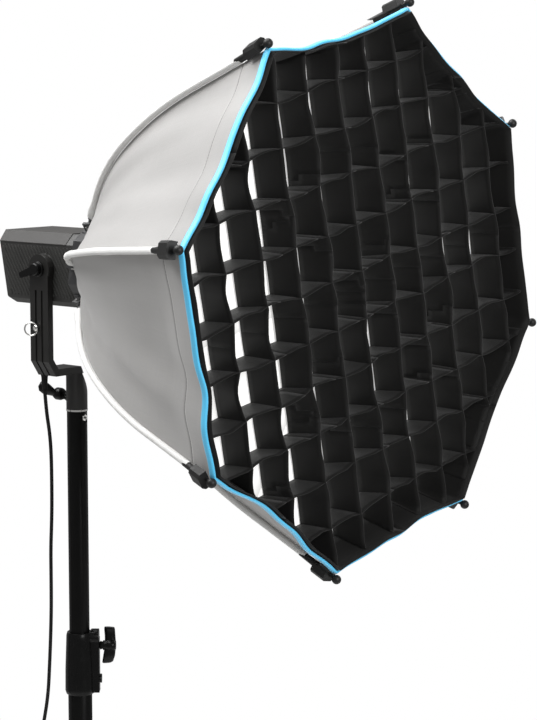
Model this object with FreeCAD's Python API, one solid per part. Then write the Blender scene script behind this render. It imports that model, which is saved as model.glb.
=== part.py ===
import FreeCAD, Part
import math
import os

# An octagonal studio softbox on a compact LED lamp head, held by a one-armed yoke on a folding light stand.
# Millimetres. +Z is up, the softbox faces -Y, and the floor is z = 0.

# ---- driving dimensions: where things stand
AXIS_HEIGHT = 1150.0            # the softbox's axis above the floor
COLUMN_Y = -23.0                # the stand's column, placed so that the object is centred on the origin
COLUMN_TO_RIM = 446.0           # from the column to the softbox's front plane

# ---- driving dimensions: softbox
RIB_COUNT = 8
FIRST_RIB_ANGLE = 11.25         # degrees from straight up, towards +X
PIVOT_RADIUS = 66.0             # rib pivots on the mount ring
PIVOT_DEPTH = 382.0             # behind the front plane
RIB_START_ANGLE = 56.89         # degrees from the softbox's axis, at the pivot
RIB_BENDS = [(160.0, 23.02), (160.0, 11.70), (139.7, 0.0)]   # length, and degrees that it bends inwards
RIB_RADIUS = 2.5
CLOTH_GAP = 4.5                 # from a rib's centre to the cloth beneath it
CLOTH_THICKNESS = 1.5
RIM_DEPTH = 6.0                 # where the cloth meets the piping
PIPING_WIDTH = 7.0
DIFFUSER_DEPTH = 42.0
GRID_PITCH = 50.4
GRID_CELLS = 11
GRID_FRONT = 1.0
GRID_BACK = 40.5
STRIP_THICKNESS = 1.0
PIN_RADIUS = 1.5
RUNNING_GAP = 0.05

# ---- driving dimensions: lamp head, measured from the column and from the softbox's axis
LAMP_FRONT = -51.5
LAMP_WALL = 3.0
LAMP_BACK = 63.5                # the slanted back's place, BACK_FOOT below the softbox's axis
BACK_FOOT = 39.0
BACK_LEAN = 16.0 / 85.0         # how much farther back it is for each millimetre of height
LAMP_OUTLINE = [(-43, -42.5), (43, -42.5), (50, -36), (50, 30), (38, 42), (-38, 42), (-50, 30), (-50, -36)]
LATCH_Y = -24.8
BORE_RADIUS = 31.4              # the turning fit between the softbox's ring and its bayonet insert

# ---- driving dimensions: yoke
ARM_INNER = 52.0
ARM_OUTER = 60.0
ARM_HALF_WIDTH = 15.0
ARM_TOP = 18.0
BAR_TOP = -117.0
BAR_BOTTOM = -125.5
RECEIVER_BOTTOM = -170.0
RECEIVER_RADIUS = 12.7
SPIGOT_RADIUS = 7.95

# ---- driving dimensions: stand
TOP_TUBE_RADIUS = 12.2
BASE_TUBE_RADIUS = 14.5
BASE_TUBE_BORE = 13.0
BASE_TUBE_BOTTOM = 16.0
COLLAR_TOP = AXIS_HEIGHT - 443.0
COLLAR_BOTTOM = AXIS_HEIGHT - 519.0
KNOB_HEIGHT = AXIS_HEIGHT - 460.0
KNOB_AZIMUTH = -49.5            # the collar's ear and knob, from +X
TOP_TUBE_BOTTOM = 330.0
LEG_AZIMUTHS = (90.0, 210.0, 330.0)
LEG_SPREAD = 53.0               # degrees from the column
BRACE_LENGTH = 265.0            # it meets the leg as far from the leg's pivot
LEG_LENGTH = 573.0              # pivot to the middle of the foot
HINGE_REACH = 30.0              # leg and brace pivots from the column's axis
BRACE_PIVOT_HEIGHT = 34.0
LEG_KNOB_AZIMUTH = 30.0         # between two legs, on the side away from the lead
LEG_RADIUS = 8.0
FOOT_RADIUS = 11.0

# ---- driving dimensions: lead
LEAD_DIAMETER = 4.4
COIL_TURN_RADIUS = 24.2
LAYER_RISE = 0.87 * LEAD_DIAMETER   # turns of one layer lie between those of the layer beneath
COIL_CENTRE = (-150.0, 30.0)      # from the column

# ---- worked-out values
FRONT_Y = COLUMN_Y - COLUMN_TO_RIM
RIB_LENGTH = sum(length for length, turn in RIB_BENDS)
RIB_STEP = 360.0 / RIB_COUNT
LEG_PIVOT_HEIGHT = BRACE_PIVOT_HEIGHT + 2 * BRACE_LENGTH * math.cos(math.radians(LEG_SPREAD))
X = FreeCAD.Vector(1, 0, 0)
Y = FreeCAD.Vector(0, 1, 0)
Z = FreeCAD.Vector(0, 0, 1)
AXIS_FRONT = FreeCAD.Vector(0, FRONT_Y, AXIS_HEIGHT)
PIVOT = FreeCAD.Vector(0, COLUMN_Y, AXIS_HEIGHT)
COLUMN_FOOT = FreeCAD.Vector(0, COLUMN_Y, 0)


# ---- small tools
def point(x, y, z):
    return FreeCAD.Vector(x, y, z)


def bar(radius, start, end):
    return Part.makeCylinder(radius, (end - start).Length, start, end - start)


def pipe(outer, inner, start, end):
    return bar(outer, start, end).cut(bar(inner, start, end))


def block(low, high):
    size = high - low
    return Part.makeBox(size.x, size.y, size.z, low)


def prism(corners, depth):
    """A flat outline, given as points in space, pushed along the vector depth."""
    return Part.Face(Part.makePolygon(corners + corners[:1])).extrude(depth)


def turned(outline, origin, axis):
    """An outline of (radius, height) points, turned about an axis through origin."""
    corners = [point(radius, 0, height) for radius, height in outline]
    shape = Part.Face(Part.makePolygon(corners + corners[:1])).revolve(point(0, 0, 0), Z, 360)
    shape.Placement = FreeCAD.Placement(origin, FreeCAD.Rotation(Z, axis))
    return shape


def joined(shapes):
    return shapes[0].multiFuse(shapes[1:]).removeSplitter() if len(shapes) > 1 else shapes[0]


def group(shapes):
    return Part.makeCompound(shapes)


def spun(shape, centre, axis, angle):
    copy = shape.copy()
    copy.rotate(centre, axis, angle)
    return copy


def save(name, shape):
    bad = [solid for solid in shape.Solids if not solid.isValid()]
    if bad or not shape.Solids:
        raise RuntimeError(name + " has an invalid solid")
    shape.exportStep("parts/" + name + ".step")


# ---- softbox
def rib_place(distance):
    """Radius, depth behind the front plane, and angle from the softbox's axis, that far along a rib."""
    radius, depth, angle = PIVOT_RADIUS, PIVOT_DEPTH, RIB_START_ANGLE
    for length, turn in RIB_BENDS:
        step = min(distance, length)
        bend = turn * step / length
        half = math.radians(bend) / 2
        chord = step * math.sin(half) / half if half else step
        along = math.radians(angle) - half
        radius += chord * math.sin(along)
        depth -= chord * math.cos(along)
        angle -= bend
        distance -= step
    return radius, depth, angle


def softbox_point(radius, depth, angle=0.0):
    around = math.radians(angle)
    return point(radius * math.sin(around), FRONT_Y + depth, AXIS_HEIGHT + radius * math.cos(around))


def rib_angle(number):
    return FIRST_RIB_ANGLE + RIB_STEP * number


def at_rib(shape, number):
    """A shape made for a rib that points straight up, turned to its own rib."""
    return spun(shape, AXIS_FRONT, Y, rib_angle(number))


def octagon(radius, depth):
    corners = [softbox_point(radius, depth, rib_angle(number)) for number in range(RIB_COUNT)]
    return Part.makePolygon(corners + corners[:1])


def octagon_plate(radius, front, back):
    return Part.Face(octagon(radius, front)).extrude(Y * (back - front))


def make_rib():
    """A bent rod with a flat eye at its pivot, for the rib that points straight up."""
    reach = RIB_LENGTH - 12.0
    edges = []
    distance = 0.0
    for length, turn in RIB_BENDS:
        end = min(distance + length, reach)
        first, middle, last = [
            softbox_point(*rib_place(place)[:2]) for place in (distance, (distance + end) / 2, end)
        ]
        edges.append(Part.Arc(first, middle, last).toShape() if turn else Part.makeLine(first, last))
        distance = end
    slope = math.radians(RIB_START_ANGLE)
    heading = point(0, -math.cos(slope), math.sin(slope))
    section = Part.Wire(Part.makeCircle(RIB_RADIUS, softbox_point(PIVOT_RADIUS, PIVOT_DEPTH), heading))
    rod = Part.Wire(edges).makePipeShell([section], True, False)
    centre = softbox_point(PIVOT_RADIUS, PIVOT_DEPTH)
    eye = bar(4.5, centre - X * 3.6, centre + X * 3.6)
    shank = bar(3.4, centre, centre + heading * 16.0)
    hole = bar(PIN_RADIUS + RUNNING_GAP, centre - X * 5, centre + X * 5)
    return joined([rod, eye, shank]).cut(hole)


def make_rib_tip():
    """The moulded end of a rib: a ball on a stem, a square block and a slim tapered sleeve."""
    radius, depth, angle = rib_place(RIB_LENGTH)
    slope = math.radians(angle)
    tip = softbox_point(radius, depth)
    back = point(0, math.cos(slope), -math.sin(slope))
    out = point(0, math.sin(slope), math.cos(slope))
    ball = Part.makeSphere(5.0, tip)
    stem = bar(2.2, tip, tip + back * 12.0)
    low, high, half_width = -2.9, 8.0, 9.0
    start = tip + back * 10.0
    outline = [
        start + out * low - X * half_width,
        start + out * low + X * half_width,
        start + out * (high - 3) + X * half_width,
        start + out * high + X * (half_width - 3),
        start + out * high - X * (half_width - 3),
        start + out * (high - 3) - X * half_width,
    ]
    body = prism(outline, back * 20.0)
    sleeve = Part.makeCone(4.1, 3.4, 27.0, tip + back * 29.0, back)
    hole = bar(RIB_RADIUS + RUNNING_GAP, tip + back * 12.0, tip + back * 60.0)
    return joined([ball, stem, body, sleeve]).cut(hole)


def make_mount_ring():
    """The ring that carries the ribs and turns on the bayonet insert."""
    outer = octagon_ring_body()
    lip = pipe(65.5, BORE_RADIUS + RUNNING_GAP, softbox_point(0, 367.0), softbox_point(0, 370.5))
    return joined([outer, lip])


def octagon_ring_body():
    flat = 60.0
    corner = flat / math.cos(math.radians(RIB_STEP / 2))
    corners = [softbox_point(corner, 370.0, rib_angle(number + 0.5)) for number in range(RIB_COUNT)]
    bore = bar(BORE_RADIUS + RUNNING_GAP, softbox_point(0, 365), softbox_point(0, 400))
    return prism(corners, Y * 24.0).cut(bore)


def make_bracket():
    """One rib's clevis, standing on a flat of the mount ring."""
    foot = block(softbox_point(60.0, 373.0) - X * 10, softbox_point(61.0, 392.0) + X * 10)
    parts = [foot]
    for side in (-1, 1):
        inner, outer = 4.0 * side, 7.5 * side
        low = point(min(inner, outer), FRONT_Y + 377.0, AXIS_HEIGHT + 61.0)
        high = point(max(inner, outer), FRONT_Y + 388.0, AXIS_HEIGHT + 71.5)
        parts.append(block(low, high))
    centre = softbox_point(PIVOT_RADIUS, PIVOT_DEPTH)
    return joined(parts).cut(bar(PIN_RADIUS, centre - X * 9, centre + X * 9))


def make_pin():
    centre = softbox_point(PIVOT_RADIUS, PIVOT_DEPTH)
    shank = bar(PIN_RADIUS, centre - X * 8.0, centre + X * 8.0)
    heads = [bar(2.6, centre + X * side * 7.5, centre + X * side * 8.8) for side in (-1, 1)]
    return joined([shank] + heads)


def cloth_place(distance, offset):
    """Where the cloth runs under a rib: that far along it, and that far inside its centre line."""
    radius, depth, angle = rib_place(distance)
    slope = math.radians(angle)
    return radius - offset * math.cos(slope), depth - offset * math.sin(slope)


def cloth_sections(offset):
    stations = [16.0, 60.0, 110.0, 160.0, 215.0, 270.0, 320.0, 400.0]
    places = [cloth_place(distance, offset) for distance in stations]
    radius, depth, angle = rib_place(RIB_LENGTH)
    run = offset / math.cos(math.radians(angle)) + RIM_DEPTH * math.tan(math.radians(angle))
    return places + [(radius - run, RIM_DEPTH)]


def cloth_loft(places):
    return Part.makeLoft([octagon(radius, depth) for radius, depth in places], True, True)


def make_shell():
    outside = cloth_sections(CLOTH_GAP)
    inside = cloth_sections(CLOTH_GAP + CLOTH_THICKNESS)
    first, last = inside[0], inside[-1]
    back_slope = (inside[1][0] - first[0]) / (first[1] - inside[1][1])
    inside[0] = (first[0] - 4.0 * back_slope, first[1] + 4.0)
    front_slope = (last[0] - inside[-2][0]) / (inside[-2][1] - last[1])
    inside[-1] = (last[0] + 4.0 * front_slope, last[1] - 4.0)
    return cloth_loft(outside).cut(cloth_loft(inside))


def rim_radius():
    return cloth_sections(CLOTH_GAP)[-1][0]


def cloth_radius_at(depth):
    """The cloth's inside corner radius at a depth within its last, straight stretch."""
    places = cloth_sections(CLOTH_GAP + CLOTH_THICKNESS)
    (back_radius, back_depth), (front_radius, front_depth) = places[-2:]
    share = (depth - front_depth) / (back_depth - front_depth)
    return front_radius + share * (back_radius - front_radius)


def make_piping():
    outer = rim_radius() + 0.5
    inner = outer - PIPING_WIDTH
    ring = octagon_plate(outer, RIM_DEPTH - PIPING_WIDTH, RIM_DEPTH)
    return ring.cut(octagon_plate(inner, RIM_DEPTH - PIPING_WIDTH - 1, RIM_DEPTH + 1))


def make_grid():
    """Cloth strips that cross to make square cells, trimmed to the inside of the softbox's mouth."""
    room = 1.0
    mouth = Part.makeLoft(
        [
            octagon(cloth_radius_at(depth) - room, depth)
            for depth in (GRID_FRONT + RIM_DEPTH, GRID_BACK)
        ],
        True,
        True,
    )
    plug_radius = cloth_radius_at(RIM_DEPTH) - PIPING_WIDTH - room
    plug = octagon_plate(plug_radius, GRID_FRONT, GRID_FRONT + RIM_DEPTH)
    half_span = GRID_PITCH * GRID_CELLS / 2
    strips = []
    for number in range(1, GRID_CELLS):
        place = number * GRID_PITCH - half_span
        half = STRIP_THICKNESS / 2
        low = point(place - half, FRONT_Y + GRID_FRONT, AXIS_HEIGHT - half_span - 20)
        high = point(place + half, FRONT_Y + GRID_BACK, AXIS_HEIGHT + half_span + 20)
        upright = spun(block(low, high), AXIS_FRONT, Y, FIRST_RIB_ANGLE - RIB_STEP / 2)
        strips += [upright, spun(upright, AXIS_FRONT, Y, 90)]
    crossed = strips[0].multiFuse(strips[1:])
    return crossed.common(joined([mouth, plug]))


def make_softbox():
    ribs = range(RIB_COUNT)
    rib, tip, bracket, pin = make_rib(), make_rib_tip(), make_bracket(), make_pin()
    for number in ribs:
        save("rod_%d" % (number + 1), at_rib(rib, number))
        save("rod_tip_%d" % (number + 1), at_rib(tip, number))
    save("rod_brackets", group([at_rib(bracket, number) for number in ribs]))
    save("rod_pins", group([at_rib(pin, number) for number in ribs]))
    save("mount_ring", make_mount_ring())
    save("shell", make_shell())
    save("rim_piping", make_piping())
    diffuser_radius = cloth_radius_at(DIFFUSER_DEPTH) - 0.8
    save("diffuser", octagon_plate(diffuser_radius, DIFFUSER_DEPTH, DIFFUSER_DEPTH + 1.2))
    save("grid", make_grid())


# ---- lamp head
def lamp_point(x, y, z):
    """A place given from the column's axis and the softbox's axis."""
    return PIVOT + point(x, y, z)


def lamp_prism(inset, front, back):
    """The lamp's outline, made smaller by inset all round, between two distances from the column."""
    corners = []
    for x, z in LAMP_OUTLINE:
        corners.append(lamp_point(x * (1 - inset / 50.0), front, z * (1 - inset / 42.0)))
    return prism(corners, Y * (back - front))


def behind_slant(offset):
    """Everything behind the lamp's slanted back, moved forward by offset."""
    low, high = -60.0, 60.0
    at_low = LAMP_BACK - offset + BACK_LEAN * (low + BACK_FOOT)
    at_high = LAMP_BACK - offset + BACK_LEAN * (high + BACK_FOOT)
    corners = [
        lamp_point(-70, at_low, low),
        lamp_point(-70, 200, low),
        lamp_point(-70, 200, high),
        lamp_point(-70, at_high, high),
    ]
    return prism(corners, X * 140)


def back_place(x, z, offset=0.0):
    """A place on the lamp's slanted back, or offset in front of it, and the back's outward normal."""
    normal = point(0, 1, -BACK_LEAN)
    normal.normalize()
    return lamp_point(x, LAMP_BACK + BACK_LEAN * (z + BACK_FOOT), z) - normal * offset, normal


def make_housing():
    back_cut = behind_slant(0)
    outside = lamp_prism(0, LAMP_FRONT, 90.0).cut(back_cut)
    corner = prism(
        [lamp_point(-60, 50, -48), lamp_point(-60, 80, -48), lamp_point(-60, 80, -20)], X * 120
    )
    inside = lamp_prism(LAMP_WALL, LAMP_FRONT + LAMP_WALL, 90.0)
    window = bar(36.0, lamp_point(0, LAMP_FRONT - 1, 0), lamp_point(0, LAMP_FRONT + 5, 0))
    shape = outside.cut(corner).cut(inside).cut(window)
    bolt_hole = bar(4.0 + RUNNING_GAP, lamp_point(-55, 0, 1), lamp_point(-40, 0, 1))
    button_hole = bar(4.6, lamp_point(0, LATCH_Y, 36), lamp_point(0, LATCH_Y, 46))
    shape = shape.cut(group([bolt_hole, button_hole]))
    for row in range(6):
        slot = block(lamp_point(46.0, 4 + 7 * row, -26), lamp_point(51, 7 + 7 * row, 18))
        shape = shape.cut(slot)
    return shape


def make_rear_panel():
    inner = lamp_prism(LAMP_WALL + 0.3, 30.0, 90.0)
    plate = inner.cut(behind_slant(0.6)).common(behind_slant(3.6))
    corner = prism(
        [lamp_point(-60, 44.7, -48), lamp_point(-60, 80, -48), lamp_point(-60, 80, -15)], X * 120
    )
    plate = plate.cut(corner)
    dial_at, normal = back_place(22, -16)
    plate = plate.cut(bar(3.0 + RUNNING_GAP, dial_at - normal * 6, dial_at + normal * 2))
    button_at, normal = back_place(-24, -18)
    plate = plate.cut(bar(5.0 + RUNNING_GAP, button_at - normal * 6, button_at + normal * 2))
    window_at, normal = back_place(0, 17, 1.4)
    recess = block(point(-28, -13, 0), point(28, 13, 5))
    recess.Placement = FreeCAD.Placement(window_at, FreeCAD.Rotation(Z, normal))
    return plate.cut(recess)


def make_dial():
    at, normal = back_place(22, -16)
    grip = turned([(0, 0.4), (9.5, 0.4), (9.5, 9), (8.5, 10), (0, 10)], at, normal)
    marks = []
    for number in range(12):
        notch = bar(0.9, at + normal * 1.5, at + normal * 11)
        notch.translate(X * 9.7)
        marks.append(spun(notch, at, normal, 30 * number))
    shaft = bar(3.0, at - normal * 7, at + normal * 2)
    return joined([grip, shaft]).cut(group(marks))


def make_power_button():
    at, normal = back_place(-24, -18)
    cap = bar(5.0, at - normal * 4.0, at + normal * 2.6)
    flange = bar(6.2, at - normal * 6.0, at - normal * 4.0)
    return joined([cap, flange])


def make_bayonet_insert():
    """The tube that the softbox turns on, with a lip in front and three lugs that lock into the lamp."""
    start = softbox_point(0, 363.0)
    outline = [(27, 0), (35, 0), (35, 3.7), (BORE_RADIUS, 3.7), (BORE_RADIUS, 47), (27, 47)]
    parts = [turned(outline, start, Y)]
    for number in range(3):
        lug = pipe(34.4, 30.0, softbox_point(0, 404.5), softbox_point(0, 409.0))
        wedge = prism(
            [softbox_point(0, 400), softbox_point(70, 400, -20), softbox_point(70, 400, 20)], Y * 12
        )
        parts.append(spun(lug.common(wedge), AXIS_FRONT, Y, 120 * number))
    return joined(parts)


def make_lamp_mount():
    """The lamp's bayonet socket: three gaps in its lip let the insert's lugs in."""
    start = softbox_point(0, 397.6)
    outline = [(31.9, 0), (39, 0), (39, 14.4), (35, 14.4), (35, 5.9), (31.9, 5.9)]
    socket = turned(outline, start, Y)
    gaps = []
    for number in range(3):
        wedge = prism(
            [softbox_point(0, 395), softbox_point(70, 395, -24), softbox_point(70, 395, 24)], Y * 9
        )
        inside = wedge.common(bar(35.0, softbox_point(0, 395), softbox_point(0, 404)))
        gaps.append(spun(inside, AXIS_FRONT, Y, 60 + 120 * number))
    return socket.cut(group(gaps))


def make_latch():
    """The bayonet's release button, with the pin that drops in front of a lug."""
    at = lamp_point(0, LATCH_Y, 0)
    return joined([bar(4.5, at + Z * 37.9, at + Z * 45.5), bar(5.6, at + Z * 34.9, at + Z * 37.9)])


def make_led_module():
    plate = bar(32.0, lamp_point(0, -19, 0), lamp_point(0, -15, 0))
    chip_holder = bar(20.0, lamp_point(0, -22, 0), lamp_point(0, -19, 0))
    chip = bar(12.0, lamp_point(0, -23.2, 0), lamp_point(0, -22, 0))
    return joined([plate, chip_holder, chip])


def make_heat_sink():
    base = block(lamp_point(-36, -15, -34), lamp_point(36, -9, 34))
    fins = []
    for number in range(13):
        left = -36 + 70.0 / 12 * number
        fins.append(block(lamp_point(left, -9, -34), lamp_point(left + 2, 22, 34)))
    return joined([base] + fins)


def make_fan():
    """The cooling fan's rotor, behind the heat sink."""
    centre = lamp_point(0, 25, 0)
    hub = bar(14.0, centre, centre + Y * 12)
    blades = []
    for number in range(7):
        blade = block(point(-0.8, 0.6, 12), point(0.8, 11.4, 33))
        blade.rotate(point(0, 6, 0), Z, 28)
        blade.translate(centre)
        blades.append(spun(blade, centre, Y, 360.0 / 7 * number))
    return joined([hub] + blades)


def make_lamp():
    save("bayonet_insert", make_bayonet_insert())
    save("lamp_mount", make_lamp_mount())
    save("lamp_housing", make_housing())
    save("led_module", make_led_module())
    save("heat_sink", make_heat_sink())
    save("fan_rotor", make_fan())
    save("rear_panel", make_rear_panel())
    save("control_dial", make_dial())
    save("power_button", make_power_button())
    save("latch_button", make_latch())


# ---- yoke
def make_yoke():
    """A one-armed cast bracket: an arm beside the lamp, a bent foot, and the spigot's socket."""
    bend_in, bend_up = 12.0, 18.0
    outline = [
        (-ARM_OUTER, 1),
        (-ARM_OUTER, BAR_BOTTOM + bend_up),
        (-ARM_OUTER + bend_in, BAR_BOTTOM),
        (-3.0, BAR_BOTTOM),
        (-7.0, BAR_TOP),
        (-ARM_INNER + 8, BAR_TOP),
        (-ARM_INNER, BAR_TOP + 12),
        (-ARM_INNER, 1),
    ]
    corners = [lamp_point(x, -ARM_HALF_WIDTH, z) for x, z in outline]
    strap = prism(corners, Y * 2 * ARM_HALF_WIDTH)
    top = bar(ARM_TOP - 1, lamp_point(-ARM_OUTER, 0, 1), lamp_point(-ARM_INNER, 0, 1))
    grooves = []
    for side in (-1, 1):
        low = lamp_point(-ARM_OUTER - 1, 5.0 * side - 1.6, BAR_BOTTOM + bend_up - 1)
        high = lamp_point(-ARM_OUTER + 1.4, 5.0 * side + 1.6, -24)
        grooves.append(block(low, high))
        slant = [
            lamp_point(-ARM_OUTER - 4, 5.0 * side - 1.6, BAR_BOTTOM + bend_up),
            lamp_point(-ARM_OUTER + 1.4, 5.0 * side - 1.6, BAR_BOTTOM + bend_up),
            lamp_point(-ARM_OUTER + bend_in + 1.0, 5.0 * side - 1.6, BAR_BOTTOM + 0.4),
            lamp_point(-ARM_OUTER + bend_in - 4, 5.0 * side - 1.6, BAR_BOTTOM - 4),
        ]
        grooves.append(prism(slant, Y * 3.2))
    socket = bar(RECEIVER_RADIUS, lamp_point(0, 0, RECEIVER_BOTTOM), lamp_point(0, 0, BAR_TOP))
    shoulder = [
        lamp_point(-7.0, -20, BAR_TOP),
        lamp_point(30, -20, BAR_TOP),
        lamp_point(30, -20, RECEIVER_BOTTOM + 12),
        lamp_point(12.5, -20, RECEIVER_BOTTOM + 12),
    ]
    socket = socket.cut(prism(shoulder, Y * 40))
    body = joined([strap, top, socket]).cut(group(grooves))
    bore = bar(SPIGOT_RADIUS + RUNNING_GAP, lamp_point(0, 0, RECEIVER_BOTTOM - 1), lamp_point(0, 0, -134))
    bolt_hole = bar(4.0, lamp_point(-62, 0, 1), lamp_point(-50, 0, 1))
    screw_hole = bar(3.0 + RUNNING_GAP, lamp_point(0, 7, -155), lamp_point(0, 14, -155))
    gland_hole = bar(3.4, lamp_point(-44, 9, -130), lamp_point(-44, 9, -110))
    return body.cut(group([bore, bolt_hole, screw_hole, gland_hole]))


def make_pivot_bolt():
    """The tilt bolt, with the flanged bush that it carries between lamp and arm."""
    shank = bar(4.0, lamp_point(-66.8, 0, 1), lamp_point(-44, 0, 1))
    nut = bar(8.0, lamp_point(-46.5, 0, 1), lamp_point(-43, 0, 1))
    return joined([shank, nut])


def make_tilt_knob():
    """The tilt lock: a small turned hub with a flat lever that points back and a little down."""
    at = lamp_point(-60.4, 0, 1)
    outline = [(4.05, 0), (9.0, 0), (9.0, 1.6), (7.6, 2.4), (7.2, 7.4), (6.2, 8.6), (4.05, 8.6)]
    hub = turned(outline, at, X * -1)
    cap = bar(6.2, at - X * 7.0, at - X * 8.6)
    along = point(0, 0.95, -0.31)
    across = point(0, 0.31, 0.95)
    root = at - X * 2.6
    corners = [
        root + across * 5.0,
        root - across * 5.0,
        root - across * 3.2 + along * 27.0,
        root + across * 3.2 + along * 27.0,
    ]
    lever = prism(corners, X * -3.8).cut(bar(6.8, at, at - X * 9))
    return joined([hub, cap, lever])


def wing(outline, origin, out, up, thickness):
    """A flat-cut wing for a screw: (out, up) points, centred on the screw's axis."""
    side = out.cross(up)
    corners = [origin + out * a + up * b - side * (thickness / 2) for a, b in outline]
    return prism(corners, side * thickness)


def make_receiver_knob():
    """The yoke's locking screw, with a leaf-shaped wing that stands aslant."""
    at = lamp_point(0, 0, -155)
    stem = bar(3.0, at + Y * 8.4, at + Y * 26)
    hub = turned([(0, 24), (6.5, 24), (7.5, 27), (7.5, 34), (5.5, 38), (0, 38)], at, Y)
    leaf = [
        (30, 18), (36, 20), (44, 15), (41, 4), (38, -6),
        (36, -14), (30, -19), (27, -14), (28, 0), (27, 10),
    ]
    return joined([stem, hub, wing(leaf, at, Y, point(-0.75, 0, 0.6614), 9.0)])


def make_safety_ring():
    """A steel ring on a round-headed screw, at the arm's back edge."""
    hook = lamp_point(-ARM_OUTER, 11.5, -66)
    centre = hook + point(-2.2, 2.0, -5.2)
    ring = Part.makeTorus(7.4, 1.0, centre, X)
    screw = bar(1.8, hook + X * 2, hook - X * 3.6)
    head = bar(3.4, hook - X * 3.4, hook - X * 4.8)
    return joined([screw, head, ring])


def make_gland():
    """The tapered sleeve that the lead leaves the yoke's foot through."""
    bore = LEAD_DIAMETER / 2
    outline = [(bore, 3), (3.4, 3), (3.4, -6), (4.4, -6), (3.9, -9), (3.0, -24), (bore, -24)]
    return turned(outline, lamp_point(-44, 9, BAR_BOTTOM + 6), Z)


def make_all_yoke():
    save("yoke_frame", make_yoke())
    save("pivot_bolt", make_pivot_bolt())
    save("tilt_knob", make_tilt_knob())
    save("receiver_knob", make_receiver_knob())
    save("safety_ring", make_safety_ring())
    save("lead_gland", make_gland())


# ---- stand
def column_point(z, x=0.0, y=0.0):
    return COLUMN_FOOT + point(x, y, z)


def around_column(shape, azimuth):
    """A shape made for a leg along +X, turned about the column."""
    return spun(shape, COLUMN_FOOT, Z, azimuth)


def make_spigot():
    """The stand's steel stud, with the bright ring that the yoke rests on."""
    top = AXIS_HEIGHT + RECEIVER_BOTTOM
    stud = bar(SPIGOT_RADIUS, column_point(top - 20), column_point(top + 35))
    ring = bar(12.9, column_point(top - 2.4), column_point(top - 0.3))
    waist = turned([(6.4, 12), (9, 12), (9, 18), (6.4, 18)], column_point(top), Z)
    return joined([stud, ring]).cut(waist)


def make_top_tube():
    top = AXIS_HEIGHT + RECEIVER_BOTTOM - 2.4
    tube = pipe(TOP_TUBE_RADIUS, TOP_TUBE_RADIUS - 1.4, column_point(TOP_TUBE_BOTTOM), column_point(top))
    plug = pipe(TOP_TUBE_RADIUS - 1.4, SPIGOT_RADIUS, column_point(top - 17.6), column_point(top))
    screw_at = column_point(top - 10)
    screw = bar(4.2, screw_at - Y * 11.0, screw_at - Y * (TOP_TUBE_RADIUS + 0.9))
    return joined([tube, plug, screw])


def make_lock_collar():
    """The plastic clamp on the base tube, with its ear, its screw boss and its bottom ridge."""
    height = COLLAR_TOP - COLLAR_BOTTOM
    bore, seat = TOP_TUBE_RADIUS + RUNNING_GAP, BASE_TUBE_RADIUS
    outline = [
        (seat, 0), (16.6, 0), (17.9, 4), (17.6, 30), (16.0, height - 4), (15.0, height),
        (bore, height), (bore, 54), (seat, 54),
    ]
    sleeve = turned(outline, column_point(COLLAR_BOTTOM), Z)
    ear = block(column_point(COLLAR_BOTTOM + 2, 12, -8), column_point(COLLAR_TOP - 8, 24, 8))
    crown = bar(9.5, column_point(COLLAR_TOP - 6, 12), column_point(COLLAR_TOP - 6, 23.5))
    boss = bar(5.5, column_point(COLLAR_BOTTOM + 18, 22), column_point(COLLAR_BOTTOM + 18, 26.6))
    room = bar(BASE_TUBE_RADIUS + 0.3, column_point(COLLAR_BOTTOM), column_point(COLLAR_TOP + 9))
    lug = joined([ear, crown, boss]).cut(room)
    hole = bar(4.0 + RUNNING_GAP, column_point(KNOB_HEIGHT, 10), column_point(KNOB_HEIGHT, 30))
    body = joined([sleeve, around_column(lug, KNOB_AZIMUTH)])
    return body.cut(around_column(hole, KNOB_AZIMUTH))


def make_collar_knob():
    at = column_point(KNOB_HEIGHT)
    stem = bar(4.0, at + X * 12.7, at + X * 32)
    neck = turned([(0, 25), (4.6, 25), (6.2, 29), (5.6, 32), (7.4, 34), (7.4, 42), (0, 44)], at, X)
    leaf = [
        (29, 22), (33, 22.5), (43, 22.5), (42.5, 8), (44.5, 0),
        (43.5, -8), (38, -20), (27.5, -21.5), (29.5, -8), (31, 8),
    ]
    shape = joined([stem, neck, wing(leaf, at, X, Z, 9.0)])
    return around_column(shape, KNOB_AZIMUTH)


def hub_lugs(height, low, high, ear_inner, ear_outer):
    """A pair of ears and a pin for each leg or brace."""
    shapes = []
    for azimuth in LEG_AZIMUTHS:
        pin_at = column_point(height, HINGE_REACH)
        ears = []
        for side in (-1, 1):
            inner, outer = sorted((ear_inner * side, ear_outer * side))
            ears.append(block(column_point(low, 16.0, inner), column_point(high, HINGE_REACH + 6.5, outer)))
        pin = bar(2.5, pin_at - Y * (ear_outer + 1.4), pin_at + Y * (ear_outer + 1.4))
        shapes += [around_column(part, azimuth) for part in ears + [pin]]
    return shapes


def make_brace_hub():
    """The fixed hub at the bottom of the base tube."""
    low, high = BRACE_PIVOT_HEIGHT - 14, BRACE_PIVOT_HEIGHT + 14
    sleeve = pipe(20.0, BASE_TUBE_RADIUS, column_point(low), column_point(high))
    lugs = []
    for azimuth in LEG_AZIMUTHS:
        tongue = block(column_point(low + 6, 17, -7.4), column_point(high - 6, HINGE_REACH + 5, 7.4))
        pin_at = column_point(BRACE_PIVOT_HEIGHT, HINGE_REACH)
        pin = bar(2.5, pin_at - Y * 13.5, pin_at + Y * 13.5)
        lugs += [around_column(part, azimuth) for part in (tongue, pin)]
    return joined([sleeve] + lugs).cut(bar(BASE_TUBE_RADIUS, column_point(0), column_point(100)))


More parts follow.
